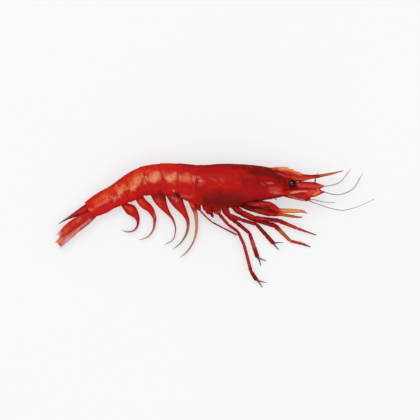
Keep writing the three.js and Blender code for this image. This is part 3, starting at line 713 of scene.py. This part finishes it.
def rostrum():
    """The toothed blade between the eyes: a thin crest above a thicker, ridged shaft."""
    x = np.linspace(ROSTRUM[0, 0], ROSTRUM[-1, 0], ROSTRUM_ROWS)
    top, bottom, half = (np.interp(x, ROSTRUM[:, 0], ROSTRUM[:, column]) for column in (1, 2, 3))
    angle = circle(ROSTRUM_SIDES)
    level = np.cos(angle)
    shaft = np.abs(np.sin(angle)) ** 0.8 * (1 - 0.5 * np.clip(level, 0, 1))
    shaft = shaft * (1 + 0.3 * hill(level + 0.35, 0.22) - 0.25 * hill(level - 0.05, 0.2))
    y = (top + bottom)[:, None] / 2 + (top - bottom)[:, None] / 2 * level
    z = HEAD_MIDDLE + half[:, None] * shaft * np.sign(np.sin(angle))
    rings = np.stack([x[:, None] + 0 * y, y, z], -1)
    body = Body()
    body.tube(rings, paint(rings, TONES["deep"], ROSTRUM_MARKS))
    for x, y, tip_x, tip_y in ROSTRUM_TEETH:
        body.spike((x, y, HEAD_MIDDLE), (tip_x, tip_y, HEAD_MIDDLE), TOOTH_HALF, TONES["orange"], 0.05)
    make("rostrum", body, SHELL, "trunk")


# ---- jointed limbs

LEG_STOPS = "0 deep, 0.25 red, 0.5 deep, 0.75 red, 0.93 deep, 1 brown"
FINGER_STOPS = "0 deep, 0.4 grey, 1 mauve"
# The legs of each side from the front: height of the tip, rows of x, y and half width from the root down,
# tips of the pincer's fingers. A leg without rows repeats that of the right side.
LEGS = {
    "right": [
        (3.8, numbers("10.8,15.5,2.5 12.6,11,2 17,8.7,1.2 25,5,1.2 41,3,1.3 53,-2,0.9 65.4,-6.4,0.3"), []),
        (3.6, numbers("6.4,15.5,2.4 5.6,10.4,2.3 8.5,6.8,1.15 16.6,3.6,1.1 26.4,0.6,1 32.8,-6.4,1.2 "
                      "37.6,-11.8,1.2"), numbers("44.1,-11.4 41.2,-15.8")),
        (4.3, numbers("-0.6,15.5,2.6 0.6,10,2.9 2.2,7.2,1 8.1,0.3,0.85 14.2,-4,0.85 18.3,-12.6,0.9 "
                      "22.9,-30.1,1 26.4,-35.5,1.25"), numbers("30.2,-40.6 33.6,-37.4")),
        (7.6, numbers("-6.4,15.5,3.3 -4.6,10.2,2.9 -2.8,7.4,1.2 -1.9,5.2,0.4"), []),
        (4.9, numbers("-12.2,15.5,1.7 -11.3,11.4,1.6 -10.2,9.4,0.5 -5.8,4.9,0.46 -2.7,2.2,0.44 "
                      "4.8,-1.8,0.44 13.6,-6.2,0.5"), []),
    ],
    "left": [
        (1.3, numbers("10.8,15.5,1.8 12.6,10.4,1.6 16.4,7.6,1.15 24.4,3.6,1.1 38.6,-0.2,1.4 48.6,-10.2,0.9 "
                      "56.5,-12.1,0.8 61.8,-14.2,0.3"), []),
        (1.5, numbers("5,15.5,2 5.4,9.8,1.7 8.2,6,1.3 13.8,1.6,1.15 21.9,-5.1,0.95 24.7,-13.6,1.3 "
                      "27.1,-20.7,1.25"), numbers("29.2,-26.4 32.8,-23")),
        (1.4, None, numbers("28.6,-38.6 31.4,-36.9")),
        (1.4, None, []),
        (1.4, None, []),
    ],
}
LEG_ROOT = {"right": 13.6, "left": 6.4}
LEG_GROWTH = 1.1
LEG_STEP, LEG_SOFTNESS = 0.35, 0.7
LEG_SIDES, FINGER_SIDES, FINGER_ROWS = 12, 8, 16
FINGER_HALF, FINGER_BOW = 0.64, 0.35
FINGER_START = -0.12  # share of its length by which a finger reaches back into the wrist
UNSEEN_LEG = 0.93  # length of the last stretch of a repeated leg, next to that of the right side
# Marks on the legs; the two rose dabs on the round leg roots (211.5 and 218.8) are painted highlights.
LEG_MARKS = strokes("""
tan 0.75 1.6 281,231 290,241
pink 0.5 0.8 226,216 235,224
pink 0.55 0.8 250,226 254,246
tan 0.5 1.3 291,243 300,245
pink 0.45 0.9 238,208 262,218
rose 0.9 1.2 211.5,210.1
rose 0.9 1.2 218.8,210.4
brown 0.6 1.6 211,213 214,216
brown 0.35 1 213,222 228,230 236,233
plum 0.35 1.6 235,230 242,241 246,253 250,267
pink 0.2 1.2 240,236 246,253 250,267
plum 0.35 1.3 246,231 252,240
clay 0.35 1.2 253,243 255,248
pink 0.35 1.3 288,225 298,229
pink 0.5 1.3 298,229 310,233
pink 0.4 1.3 291,241.6 301,243.4 308,246
brown 0.7 1.5 257,225.4 263,231 268,237
""")


def jointed(rows, step, soften):
    """Stations along straight lengths between joints (x, y, half width), with the corners softened.

    Gives x and y, half width, distance to the nearest joint and share of the length of every station.
    """
    walked = np.concatenate([[0], np.cumsum(np.linalg.norm(np.diff(rows[:, :2], axis=0), axis=1))])
    count = int(walked[-1] / step) + 2
    distance = np.linspace(0, walked[-1], count)
    reach = int(3 * soften / step)
    kernel = hill(np.arange(-reach, reach + 1) * step, soften)
    kernel /= kernel.sum()
    marks = (walked[0] - walked[1], *walked, 2 * walked[-1] - walked[-2])
    flat = []
    for axis in (0, 1):
        ends = (2 * rows[0, axis] - rows[1, axis], *rows[:, axis], 2 * rows[-1, axis] - rows[-2, axis])
        padded = np.interp(np.arange(-reach, count + reach) * walked[-1] / (count - 1), marks, ends)
        flat.append(np.convolve(padded, kernel, "valid"))
    half = np.interp(distance, walked, rows[:, 2])
    joint = np.min(np.abs(distance[:, None] - walked[None, 1:-1]), axis=1)
    return np.stack(flat, -1), half, joint, distance / walked[-1]


def shortened(rows, reach):
    """Rows of a limb with the last stretch cut to a share of its length."""
    rows = rows.copy()
    rows[-1, :2] = rows[-2, :2] + (rows[-1, :2] - rows[-2, :2]) * reach
    return rows


def shaded_tube(body, path, wide, thick, tints, sides, rim=0.3, relief=0.04, seed=0):
    """A tube that is a little uneven, with painted shade along both edges seen from above."""
    rings = uneven(tube_rings(path, wide, thick, sides), path, relief, 1.4, seed)
    body.tube(rings, rim_shaded(tints[:, None], sides, rim, 4))


def leg(side, index):
    """A walking leg, narrow and dark at its joints, with two fingers where it ends in a pincer."""
    tip, rows, fingers = LEGS[side][index]
    if rows is None:
        rows = shortened(LEGS["right"][index][1], UNSEEN_LEG)
    flat, half, joint, share = jointed(rows, LEG_STEP, LEG_SOFTNESS)
    path = np.column_stack([flat, sinking(LEG_ROOT[side], tip, share)])
    girth = LEG_GROWTH * half * (1 - 0.17 * hill(joint, 0.7) + 0.07 * hill(joint - 1.5, 0.8))
    tints = gradient(share, LEG_STOPS) * (1 - 0.18 * hill(joint, 0.6))[:, None]
    body = Body()
    # painted shade along the leg's edges
    shaded_tube(body, path, girth, girth * 0.9, paint(path, tints, LEG_MARKS), LEG_SIDES, seed=index)
    wrist = path[-1]
    for bow, (x, y) in zip((FINGER_BOW, -FINGER_BOW), fingers):
        end = np.array([x, y, wrist[2]])
        share = np.linspace(FINGER_START, 1, FINGER_ROWS)
        side_way = unit(np.cross(UP, end - wrist))
        bend = bow * np.sin(np.pi * np.clip(share, 0, 1))
        finger = wrist + share[:, None] * (end - wrist) + bend[:, None] * side_way
        taper = 0.45 if y < wrist[1] - 2 else 0.7
        thick = FINGER_HALF * (1 - taper * np.clip(share, 0, 1))
        shaded_tube(body, finger, thick, thick, gradient(share, FINGER_STOPS), FINGER_SIDES)
    make(f"leg_{side}_{index + 1}", body, LEG)


# ---- swimmerets

# From the tail forwards: rows of x, y and half width from the root to the tip.
SWIMMERETS = [
    numbers("-62.6,17,1.5 -59.4,12.9,1.8 -54.4,9.1,3.7 -51.4,4.8,2.25 -51,0.8,0.74 -53,-2.9,0.6 "
            "-57.1,-4.3,0.42 -61.6,-3.3,0.15"),
    numbers("-52,22,2.4 -48,15,2.6 -43,10.6,2.65 -40.2,5.4,1.65 -40.1,1.6,0.88 -41.2,-3.4,0.5 "
            "-44.9,-7.7,0.36 -50.3,-9.6,0.14"),
    numbers("-38.9,23,4.4 -35.5,14.9,4.1 -32.4,9.8,2.35 -28.8,5,0.95 -27.2,1.6,0.54 -26.4,-3.2,0.34 "
            "-28.2,-9.4,0.3 -34,-12.8,0.14"),
    numbers("-28.6,23,4.8 -24.8,14.6,4.3 -20.9,8.6,2.8 -18.4,3,1.4 -18.4,-1.9,0.95 -20.1,-7.1,0.65 "
            "-23.7,-12.1,0.4 -28.4,-15.7,0.14"),
    numbers("-17.4,21,3 -15.2,13.6,1.95 -13.4,8.1,1.3 -12.7,2.2,1 -12.9,-4.3,0.82 -14.9,-11,0.54 "
            "-18.8,-17.1,0.42 -23.6,-21.1,0.15"),
]
SWIMMERET_STOPS = [
    "0 red, 0.35 scarlet, 0.5 red, 0.6 deep, 0.7 clay, 0.84 clay, 0.93 grey, 1 lilac",
    "0 red, 0.4 scarlet, 0.52 red, 0.66 clay, 0.84 clay, 0.93 grey, 1 lilac",
    "0 deep, 0.2 red, 0.5 red, 0.62 clay, 0.84 clay, 0.94 grey, 1 lilac",
    "0 deep, 0.2 red, 0.36 scarlet, 0.46 red, 0.6 clay, 0.84 clay, 0.94 grey, 1 lilac",
    "0 red, 0.24 red, 0.33 sand, 0.62 sand, 0.9 clay, 1 lilac",
]
SWIMMERET_OFFSET = 0.4  # of the trunk's half width, from its plane of symmetry to the root
SWIMMERET_TIP = {"right": 3.6, "left": 1.2}
SWIMMERET_GROWTH = 1.05
SWIMMERET_ROWS, SWIMMERET_SIDES = 90, 20
SWIMMERET_RINGING = 260  # radians of the wave that makes the short rings along the thin end
UNSEEN_SWIMMERET = 0.94
# Marks on the swimmerets: the orange dab at 126,206.5, the rose streak at 154.2,212.4 and the coral streak
# at 168.6,195 are painted highlights, and the brown mark at 161,195 is painted shade in the hollow by the
# body.
SWIMMERET_MARKS = strokes("""
orange 0.6 1.3 126,206.5 131,209.5
brown 0.6 0.7 122,206.5 127,212 132,217
rose 0.6 0.7 133.4,217.4 134.6,218.2
orange 0.6 1.2 140,201 143.6,204
bright 0.6 1.6 145,206 150,210
orange 0.35 1.4 157.5,200 161,206
brown 0.5 1.6 161,195 163.4,199
bright 0.6 1.4 164,202 167,212
coral 0.5 1.2 168.6,195 173,197 177,200.6
orange 0.7 1.5 186,199.6 190.4,202.4 194,206.4
rose 0.5 0.8 154.2,212.4 154.8,218
""")


def swimmeret(side, row):
    """A leaf-shaped limb with a rib, running out into a thin curled thread of short rings."""
    line = SWIMMERETS[row]
    if side == "left":
        line = shortened(line, UNSEEN_SWIMMERET)
    ring = len(SWIMMERETS) - row
    half, middle = STATIONS[row + 1, 4:]
    root = middle + (1 if side == "right" else -1) * SWIMMERET_OFFSET * half
    height = sinking(root, SWIMMERET_TIP[side], np.linspace(0, 1, len(line)))
    path, share = curve(line, height, SWIMMERET_ROWS)
    wide = averaged(SWIMMERET_GROWTH * between(line[:, 2], share), 9)
    thick = np.minimum(wide, between([1.3, 0.4], share))
    rings = 1 + 0.05 * np.sin(share * SWIMMERET_RINGING) * (share > 0.55)
    tube = tube_rings(path, wide * rings, thick * rings, SWIMMERET_SIDES, sharp=1.25)
    angle = circle(SWIMMERET_SIDES)
    rib = hill(np.cos(angle)[None], 0.25) * (0.22 * ease((0.6 - share) / 0.2))[:, None]
    tube[..., 2] += rib * np.sign(np.sin(angle))
    tube[..., 2] += 0.12 * rumble(tube, 2.2, ring) * (share < 0.5)[:, None]
    painted = paint(tube, gradient(share, SWIMMERET_STOPS[row])[:, None], SWIMMERET_MARKS)
    body = Body()
    # painted shade along the swimmeret's edges
    body.tube(tube, rim_shaded(painted, SWIMMERET_SIDES, 0.3, 6))
    make(f"swimmeret_{side}_{ring}", body, BLADE)


# ---- tail fan

# Rows of x, y and half width from the root to the end.
TELSON = numbers("-80,13.4,3.2 -86,10,2.85 -92.3,6.8,1.75 -97.4,4.15,0.7 -102.6,1,0.25")
INNER_BLADE = numbers(
    "-80.5,8.2,1.6 -85.9,5.1,2.5 -92.1,1.1,3.1 -97.6,-3.3,3.25 -100.4,-5.5,2.8 -102,-6.9,1.3"
)
OUTER_BLADE = numbers("-79,6.6,1.4 -83.4,3.2,2.2 -90.4,-1.8,2.5 -95.9,-6,2.7 -99.7,-9.3,2.8 -102.7,-12.4,2")
TAIL_MIDDLE = 4.6
INNER_BLADE_OFFSET, OUTER_BLADE_OFFSET = 3.0, 1.6
BLADE_TILT = 0.2
BLADE_THICK, TELSON_THICK = 0.42, 1.3
FAN_ROWS, FAN_SIDES = 60, 28
HAIR_FIRST_ROW, HAIRS_A_ROW = 34, 2
HAIR_HALF, HAIR_BOW, HAIR_SCATTER = 0.06, 0.05, 0.08
HAIR_LENGTH, HAIR_GAIN, HAIR_SPREAD = 0.9, 1.1, 0.2  # at the first row, more at the last, and by chance
HAIR_OUTWARD, HAIR_BACKWARD = 0.38, 0.85
HAIR_SEED = 7
# Marks on the tail fan; the brown line along the outer blade is painted shadow cast by the inner blade over
# it.
FAN_MARKS = {
    "telson": strokes("""
scarlet 0.8 2.6 87,209 80,213
brown 0.6 1 84,205.6 74,212 67,217
pink 0.2 0.9 80,211.6 72,215.6
tan 0.4 1 70,215.6 66,218.4
grey 0.95 1.8 61.6,221.6 58,224
"""),
    "inner_blade": strokes("""
bright 0.7 3.2 78,220 68,229
pink 0.6 1.4 77,221.6 79.6,217.6
pink 0.35 1.2 74,222 68,227
deep 0.4 0.6 80,216.5 72,222 64,229
orange 0.8 2.2 65.6,230.6 63,233
olive 0.45 1.5 64,232 63,233.6
rose 0.8 1.7 59.4,231 59,237
lilac 0.45 1 58.8,231.6 58.4,237
"""),
    "outer_blade": strokes("""
coral 0.95 3.4 88,219.6 80,226 72,232.6
pink 0.5 1.2 90,219 84,223.6
rose 0.4 1.7 85,222.4 80,226.4 74,231.6
cream 0.3 0.7 86,221.6 78,228.8 72,233.6
brown 0.8 1.2 96,217.8 90.6,222.8 84.6,227.2 80,230.4
coral 0.85 3.6 71,236 59,244
rose 0.6 3.2 70,236 57,245
lilac 0.4 1.8 69,239.4 65,242
tan 0.85 1.1 64,238.6 59.4,245
peach 0.7 1.3 62,238 60,242
orange 0.5 0.9 61,241.6 57.6,245
olive 0.7 0.9 60,245 58,246.8
"""),
}


def fan_blade(outline, offset, tilt, thick, sharp, marks, base):
    """A flat, ribbed leaf of the tail fan: its body, its path and its rings."""
    path, share = curve(outline, TAIL_MIDDLE + offset, FAN_ROWS)
    wide = averaged(between(outline[:, 2], share), 7)
    rings = tube_rings(path, wide, thick * (1 - 0.5 * share), FAN_SIDES, tilt, sharp)
    angle = circle(FAN_SIDES)
    level = np.cos(angle)[None]
    rib = 0.30 * hill(level, 0.14) + 0.16 * hill(np.abs(level) - 0.62, 0.10)
    rib = rib - 0.12 * hill(np.abs(level) - 0.3, 0.12)
    rings[..., 2] += rib * np.sign(np.sin(angle)) * (1 - share)[:, None] ** 0.5
    rings[..., 2] += 0.15 * rumble(rings, 3.0, 3) + 0.07 * rumble(rings, 1.1, 4)
    body = Body()
    # painted shade along the blade's edges
    body.tube(rings, rim_shaded(paint(rings, TONES[base], marks), FAN_SIDES, 0.12, 8))
    return body, path, rings


def fringe(body, path, rings, rng):
    """Fine hairs along both edges of a blade's end, longer towards the tip."""
    tail = unit(path[-1] - path[-6])
    for column in (0, FAN_SIDES // 2):
        for row in range(HAIR_FIRST_ROW, FAN_ROWS):
            for _ in range(HAIRS_A_ROW):
                root = rings[row, column] + rng.normal(0, HAIR_SCATTER, 3)
                outward = unit(root - path[row])
                share = (row - HAIR_FIRST_ROW) / (FAN_ROWS - HAIR_FIRST_ROW)
                length = HAIR_LENGTH + HAIR_GAIN * share + rng.uniform(-HAIR_SPREAD, HAIR_SPREAD)
                tip = root + (outward * HAIR_OUTWARD + tail * HAIR_BACKWARD) * length
                body.spike(root, tip, HAIR_HALF, TONES["rose"], HAIR_BOW, sides=3, steps=3)


def tail_fan():
    """The pointed middle piece and two pairs of blades with a fringe."""
    body, *_ = fan_blade(TELSON, 0, 0, TELSON_THICK, 1.0, FAN_MARKS["telson"], "deep")
    make("telson", body, BLADE)
    rng = np.random.default_rng(HAIR_SEED)
    for side, sign in (("right", 1), ("left", -1)):
        for kind, outline, offset in (("inner_blade", INNER_BLADE, INNER_BLADE_OFFSET),
                                      ("outer_blade", OUTER_BLADE, OUTER_BLADE_OFFSET)):
            body, path, rings = fan_blade(outline, sign * offset, sign * BLADE_TILT, BLADE_THICK, 1.3,
                                          FAN_MARKS[kind], "red")
            fringe(body, path, rings, rng)
            make(f"{kind}_{side}", body, BLADE)


# ---- mouth limbs, feelers and eyes

# Rows of x, y and half width from the root to the end, here and for the scale and the stems of the feelers.
MAXILLIPEDS = {
    "right": numbers("15,17,1.4 20,14.7,1.7 28,13.9,2.4 34,13.1,2.5 37.4,11.6,2.3 40.6,9.6,1.5 50,9.4,1.4 "
                     "56.2,9.2,0.9 59.3,7.8,0.3"),
    "left": numbers("11.8,14.4,1.1 15.8,13.2,1.3 20.3,11.6,1.7 27,9.9,2 34.2,8.3,2.4 38.2,7.8,1.9 43,7,1.05 "
                    "49,6,0.95 53.6,5.3,0.7 56.4,5.4,0.3"),
}
MAXILLIPED_HEIGHT = {"right": (14.6, 12.4), "left": (6.8, 6.0)}  # of the root and of the end
MAXILLIPED_STEP, MAXILLIPED_SOFTNESS, MAXILLIPED_SIDES = 0.3, 0.9, 18
MAXILLIPED_STOPS = "0 deep, 0.3 deep, 0.5 red, 0.64 red, 0.7 orange, 1 tan"
# Marks on the mouth limbs: the pink band along the upper one's top edge is a painted highlight, and the last
# dark line along its top edge is painted shade in the slit under the head shell.
MAXILLIPED_MARKS = strokes("""
red 0.6 2 246,205 258,204.6 268,204.6 274,208
brown 0.4 0.8 250,207.6 262,207.6
pink 0.45 0.6 254,204.8 262,204 269,203.6
tan 0.35 1 256,209.4 262,209.8 267.5,209.4
pink 0.35 0.8 256,211.4 264,211.6
red 0.7 2.4 271,213.6 276,210.6
deep 0.5 2.2 265,204.4 272,207.6 274,212
dark 0.7 1.2 265.4,206.6 268.6,207.6
orange 0.8 1.8 280,213.6 286,214
amber 0.95 1.7 283,210.6 292,210.4 299,211
peach 0.7 0.6 279,210 290,210
bright 0.6 0.6 278,212 288,212
tan 0.95 1.3 286,214.8 294,216.4 303,216.8
peach 0.6 1 300,211 304,212 308,213.6
dark 0.9 1.5 243.4,203.4 250,202.7 258,201.2
""")
FEELER_SCALE = numbers("44,21.2,1.2 50.5,21.1,2.3 57.5,20.6,2.8 64,21.1,2.6 70.2,21.8,0.45")
FEELER_SCALE_OFFSET = 5.4  # from the plane of symmetry, as for the stems below
SCALE_THICK, SCALE_ROWS, SCALE_SIDES = 0.45, 60, 24
ANTENNULE_STEM = numbers("49,25.6,1.7 54,25.9,2.7 62,25.7,2.6 67,25.3,1.9 70,25.6,0.6")
ANTENNULE_OFFSET, ANTENNULE_FLATNESS = 1.5, 0.5
ANTENNULE_JOINTS = (0.42, 0.72)
ANTENNULE_STOPS = "0 deep, 0.3 red, 0.8 red, 1 pink"
ANTENNULE_THREADS = [
    numbers("68,25.2 74.6,26 81.2,28.5 88,36.9"),
    numbers("66,24.4 70,21.9 79.8,20 89.4,23.9 95.7,33.9"),
]
UNSEEN_THREAD = 0.8
BRISTLE_ROOT, BRISTLE_TIP, BRISTLE_HALF = (314.8, 184.4), (318, 171.6), 0.62
ANTENNA_STEM = numbers("42,20.6,1.3 49.4,19,1.6 56,18.1,2.1 59.4,17.6,2 61.2,17.2,0.9")
ANTENNA_OFFSET, ANTENNA_FLATNESS = 3.1, 0.75
ANTENNA_JOINTS = (0.45, 0.78)
ANTENNA_STOPS = "0 deep, 0.6 red, 1 deep"
ANTENNA_THREAD = {
    "right": numbers("58,17.3 64.7,14.4 79.8,10 90.7,11.6 103.3,17.1"),
    "left": numbers("58,17.6 64.3,16.6 71,15.1 78,14.9"),
}
STEM_ROWS, STEM_SIDES = 70, 20
THREAD_ROWS, THREAD_SIDES, THREAD_HALF = 130, 8, 0.32
THREAD_RINGING = 420  # radians of the wave that makes its short rings
THREAD_TIP = {"right": 5.0, "left": 1.6}
THREAD_STOPS = "0 deep, 0.07 brown, 0.16 mauve, 0.5 mauve, 1 lilac"
STEM_MARKS = strokes("""
bright 0.9 2.4 300,186 312,187 316,188
coral 0.2 2 300,186 316,187.4
orange 0.5 1.2 316,187 321,186.4
pink 0.5 1.2 312,185.6 318,186.6
deep 0.5 0.9 300,183.6 316,184
""")
# Marks on the scale; the rose and cream line along its upper edge is a painted highlight.
SCALE_MARKS = strokes("""
rose 0.95 0.75 290,193 298,191.6 306,191.2
cream 0.6 0.5 292,192.7 299,191.6
orange 0.65 2.4 309,193 318,191.6
peach 0.7 1 313,195 319,192
dark 0.6 0.8 292,194.6 304,193.4
""")
ANTENNA_MARKS = strokes("""
red 0.8 1.6 300,197 306,197.6
orange 0.5 0.9 302,195 307,197
rose 0.85 0.6 289,195.6 296,198.2 304,200.4
deep 0.6 0.8 291,195.4 300,198
""")
EYE_X, EYE_Y, EYE_OFFSET, EYE_RADIUS = 49.3, 27.2, 5.2, 2.6
EYE_ROWS, EYE_SIDES, EYE_POLE = 24, 32, 0.04
STALK_X, STALK_Y, STALK_OFFSET, STALK_HALF = 48.7, 26.4, 0.6, 1.7
STALK_ROWS, STALK_SIDES = 12, 14
# Painted reflections on the eye: a brownish glint and a grey one.
EYE_REFLECTIONS = strokes("""
olive 0.35 1.2 289.5,182.5 290.5,185
grey 0.3 0.6 290.4,183.4
""")


def maxilliped(side):
    """A broad mouth limb that ends in a thin orange tip."""
    flat, half, _, share = jointed(MAXILLIPEDS[side], MAXILLIPED_STEP, MAXILLIPED_SOFTNESS)
    path = np.column_stack([flat, between(MAXILLIPED_HEIGHT[side], share)])
    tube = uneven(tube_rings(path, half, half * 0.85, MAXILLIPED_SIDES), path, 0.06, 2.0, 11)
    tints = paint(tube, gradient(share, MAXILLIPED_STOPS)[:, None], MAXILLIPED_MARKS)
    body = Body()
    # painted shade along the mouth limb's edges
    body.tube(tube, rim_shaded(tints, MAXILLIPED_SIDES, 0.32, 5))
    make(f"maxilliped_{side}", body, LEG)


def feeler_scale(side, sign):
    """The flat scale beside the feelers."""
    path, share = curve(FEELER_SCALE, HEAD_MIDDLE + sign * FEELER_SCALE_OFFSET, SCALE_ROWS)
    thick = np.full(SCALE_ROWS, SCALE_THICK)
    tube = tube_rings(path, between(FEELER_SCALE[:, 2], share), thick, SCALE_SIDES, sharp=1.3)
    ridge = 0.4 * hill(np.cos(circle(SCALE_SIDES)) - 0.55, 0.2)
    tube[..., 2] += ridge * (1 - share)[:, None] + 0.1 * rumble(tube, 2.0, 15)
    body = Body()
    body.tube(tube, paint(tube, TONES["red"], SCALE_MARKS))
    make(f"feeler_scale_{side}", body, BLADE)


def stem(body, rows, height, flatness, marks, stops, joints):
    """The jointed stem of a feeler, narrow just past each joint."""
    path, share = curve(rows, height, STEM_ROWS)
    wide = np.interp(path[:, 0], rows[:, 0], rows[:, 2])
    for place in joints:
        wide = wide * (1 - 0.09 * hill(share - place, 0.02) + 0.04 * hill(share - place + 0.05, 0.03))
    tube = uneven(tube_rings(path, wide, wide * flatness, STEM_SIDES), path, 0.05, 1.6, 13)
    tints = paint(tube, gradient(share, stops)[:, None], marks)
    # painted shade along the stem's edges
    body.tube(tube, rim_shaded(tints, STEM_SIDES, 0.25, 6))


def thread(body, line, high, low):
    """A long thread of very short rings, thinning towards its end."""
    path, share = curve(line, sinking(high, low, np.linspace(0, 1, len(line))), THREAD_ROWS)
    wide = THREAD_HALF * (1 - 0.35 * share) * (1 + 0.08 * np.sin(share * THREAD_RINGING))
    # painted shade along the thread's edges
    shaded_tube(body, path, wide, wide, gradient(share, THREAD_STOPS), THREAD_SIDES, rim=0.2, relief=0.0)


def antennule(side, sign):
    """An upper feeler: a stem with two threads and, on the side that shows, a bristle."""
    body = Body()
    height = HEAD_MIDDLE + sign * ANTENNULE_OFFSET
    stem(body, ANTENNULE_STEM, height, ANTENNULE_FLATNESS, STEM_MARKS, ANTENNULE_STOPS, ANTENNULE_JOINTS)
    for line in ANTENNULE_THREADS:
        thread(body, line if side == "right" else shortened(line, UNSEEN_THREAD), height, THREAD_TIP[side])
    if side == "right":
        root, tip = (*plan(BRISTLE_ROOT), height + 0.8), (*plan(BRISTLE_TIP), HEAD_MIDDLE + 1.4)
        body.spike(root, tip, BRISTLE_HALF, TONES["plum"], 0.06, steps=9)
    make(f"antennule_{side}", body, BLADE)


def antenna(side, sign):
    """A lower feeler: a stem with one thread."""
    body = Body()
    height = HEAD_MIDDLE + sign * ANTENNA_OFFSET
    stem(body, ANTENNA_STEM, height, ANTENNA_FLATNESS, ANTENNA_MARKS, ANTENNA_STOPS, ANTENNA_JOINTS)
    thread(body, ANTENNA_THREAD[side], height, THREAD_TIP[side])
    make(f"antenna_{side}", body, BLADE)


def eye(side, sign):
    """A black ball on a short red stalk."""
    centre = np.array([EYE_X, EYE_Y, HEAD_MIDDLE + sign * EYE_OFFSET])
    latitude = np.linspace(EYE_POLE, np.pi - EYE_POLE, EYE_ROWS)[:, None]
    angle = circle(EYE_SIDES)
    ring = np.stack([np.sin(latitude) * np.cos(angle), np.sin(latitude) * np.sin(angle),
                     np.cos(latitude) * sign + 0 * angle], -1)
    ball = centre + EYE_RADIUS * ring * (1 + 0.02 * rumble(ring * 2.5, 1.0, 17)[..., None])
    body = Body()
    body.tube(ball, paint(ball, TONES["soot"] * 0.5, EYE_REFLECTIONS))
    low = np.array([STALK_X, STALK_Y, HEAD_MIDDLE + sign * STALK_OFFSET])
    share = np.linspace(0, 1, STALK_ROWS)
    path = low + share[:, None] * (centre - low) * 0.75
    wide = STALK_HALF - 0.3 * np.sin(np.pi * share)
    body.tube(tube_rings(path, wide, wide, STALK_SIDES, level=(1.0, 0.2, 0.0)), TONES["deep"])
    make(f"eye_{side}", body, EYE)


# ---- put together

for index in range(RINGS):
    tail_ring(index)
meat()
head_shell()
rostrum()
for side in ("right", "left"):
    for index in range(5):
        leg(side, index)
        swimmeret(side, index)
tail_fan()
for side, sign in (("right", 1), ("left", -1)):
    maxilliped(side)
    feeler_scale(side, sign)
    antennule(side, sign)
    antenna(side, sign)
    eye(side, sign)

# ---- table, light and camera

PAPER_WHITE = (0.98, 0.99, 1.0, 1)
PAPER_GLOW, STUDIO_GLOW = 0.53, 0.62
TABLE_SIZE, CLIP_END = 6, 10  # metres
LENS, SENSOR = 200, 36
TABLE_TO_FOCUS = 10  # mm from the table up to the plane in which a pixel is PIXEL wide

scene = bpy.context.scene
bpy.ops.mesh.primitive_plane_add(size=TABLE_SIZE, location=(0, 0, 0))
table = bpy.context.object
table.name = "table"
paper = bpy.data.materials.new("pale_table")
paper.use_nodes = True
tree = paper.node_tree
grain = tree.nodes.new("ShaderNodeTexNoise")
put(grain, {"Scale": 30})
ramp = tree.nodes.new("ShaderNodeMapRange")
put(ramp, {"To Min": 0.43, "To Max": 0.44})
paper_shader = tree.nodes["Principled BSDF"]
tree.links.new(grain.outputs["Fac"], ramp.inputs["Value"])
tree.links.new(ramp.outputs["Result"], paper_shader.inputs["Base Color"])
put(paper_shader, {"Roughness": 0.9, "Specular IOR Level": 0.1, "Emission Color": PAPER_WHITE,
                   "Emission Strength": PAPER_GLOW})
table.data.materials.append(paper)
table.visible_glossy = False

world = bpy.data.worlds.new("studio")
scene.world = world
world.use_nodes = True
put(world.node_tree.nodes["Background"], {"Color": PAPER_WHITE, "Strength": STUDIO_GLOW})
world.cycles_visibility.glossy = False


def sun(name, direction, strength, spread):
    """Light that shines along a direction from a disc as wide as spread, in degrees."""
    light = bpy.data.lights.new(name, "SUN")
    light.energy = strength
    light.angle = math.radians(spread)
    holder = bpy.data.objects.new(name, light)
    holder.rotation_euler = Vector(direction).to_track_quat("-Z", "Y").to_euler()
    scene.collection.objects.link(holder)


sun("key", (0.2, -0.5, -1.0), 0.85, 35)
sun("fill", (-0.3, 0.55, -1.0), 0.5, 50)

camera_data = bpy.data.cameras.new("camera")
camera_data.lens = LENS
camera_data.sensor_width = SENSOR
camera_data.clip_end = CLIP_END
camera = bpy.data.objects.new("camera", camera_data)
view_centre = plan((VIEW_PIXELS / 2, VIEW_PIXELS / 2)) + SHIFT[:2]
view_width = VIEW_PIXELS * PIXEL
camera_height = TABLE_TO_FOCUS + view_width * LENS / SENSOR
camera.location = (view_centre[0] * MM, view_centre[1] * MM, camera_height * MM)
scene.collection.objects.link(camera)
scene.camera = camera
scene.view_settings.view_transform = "Standard"
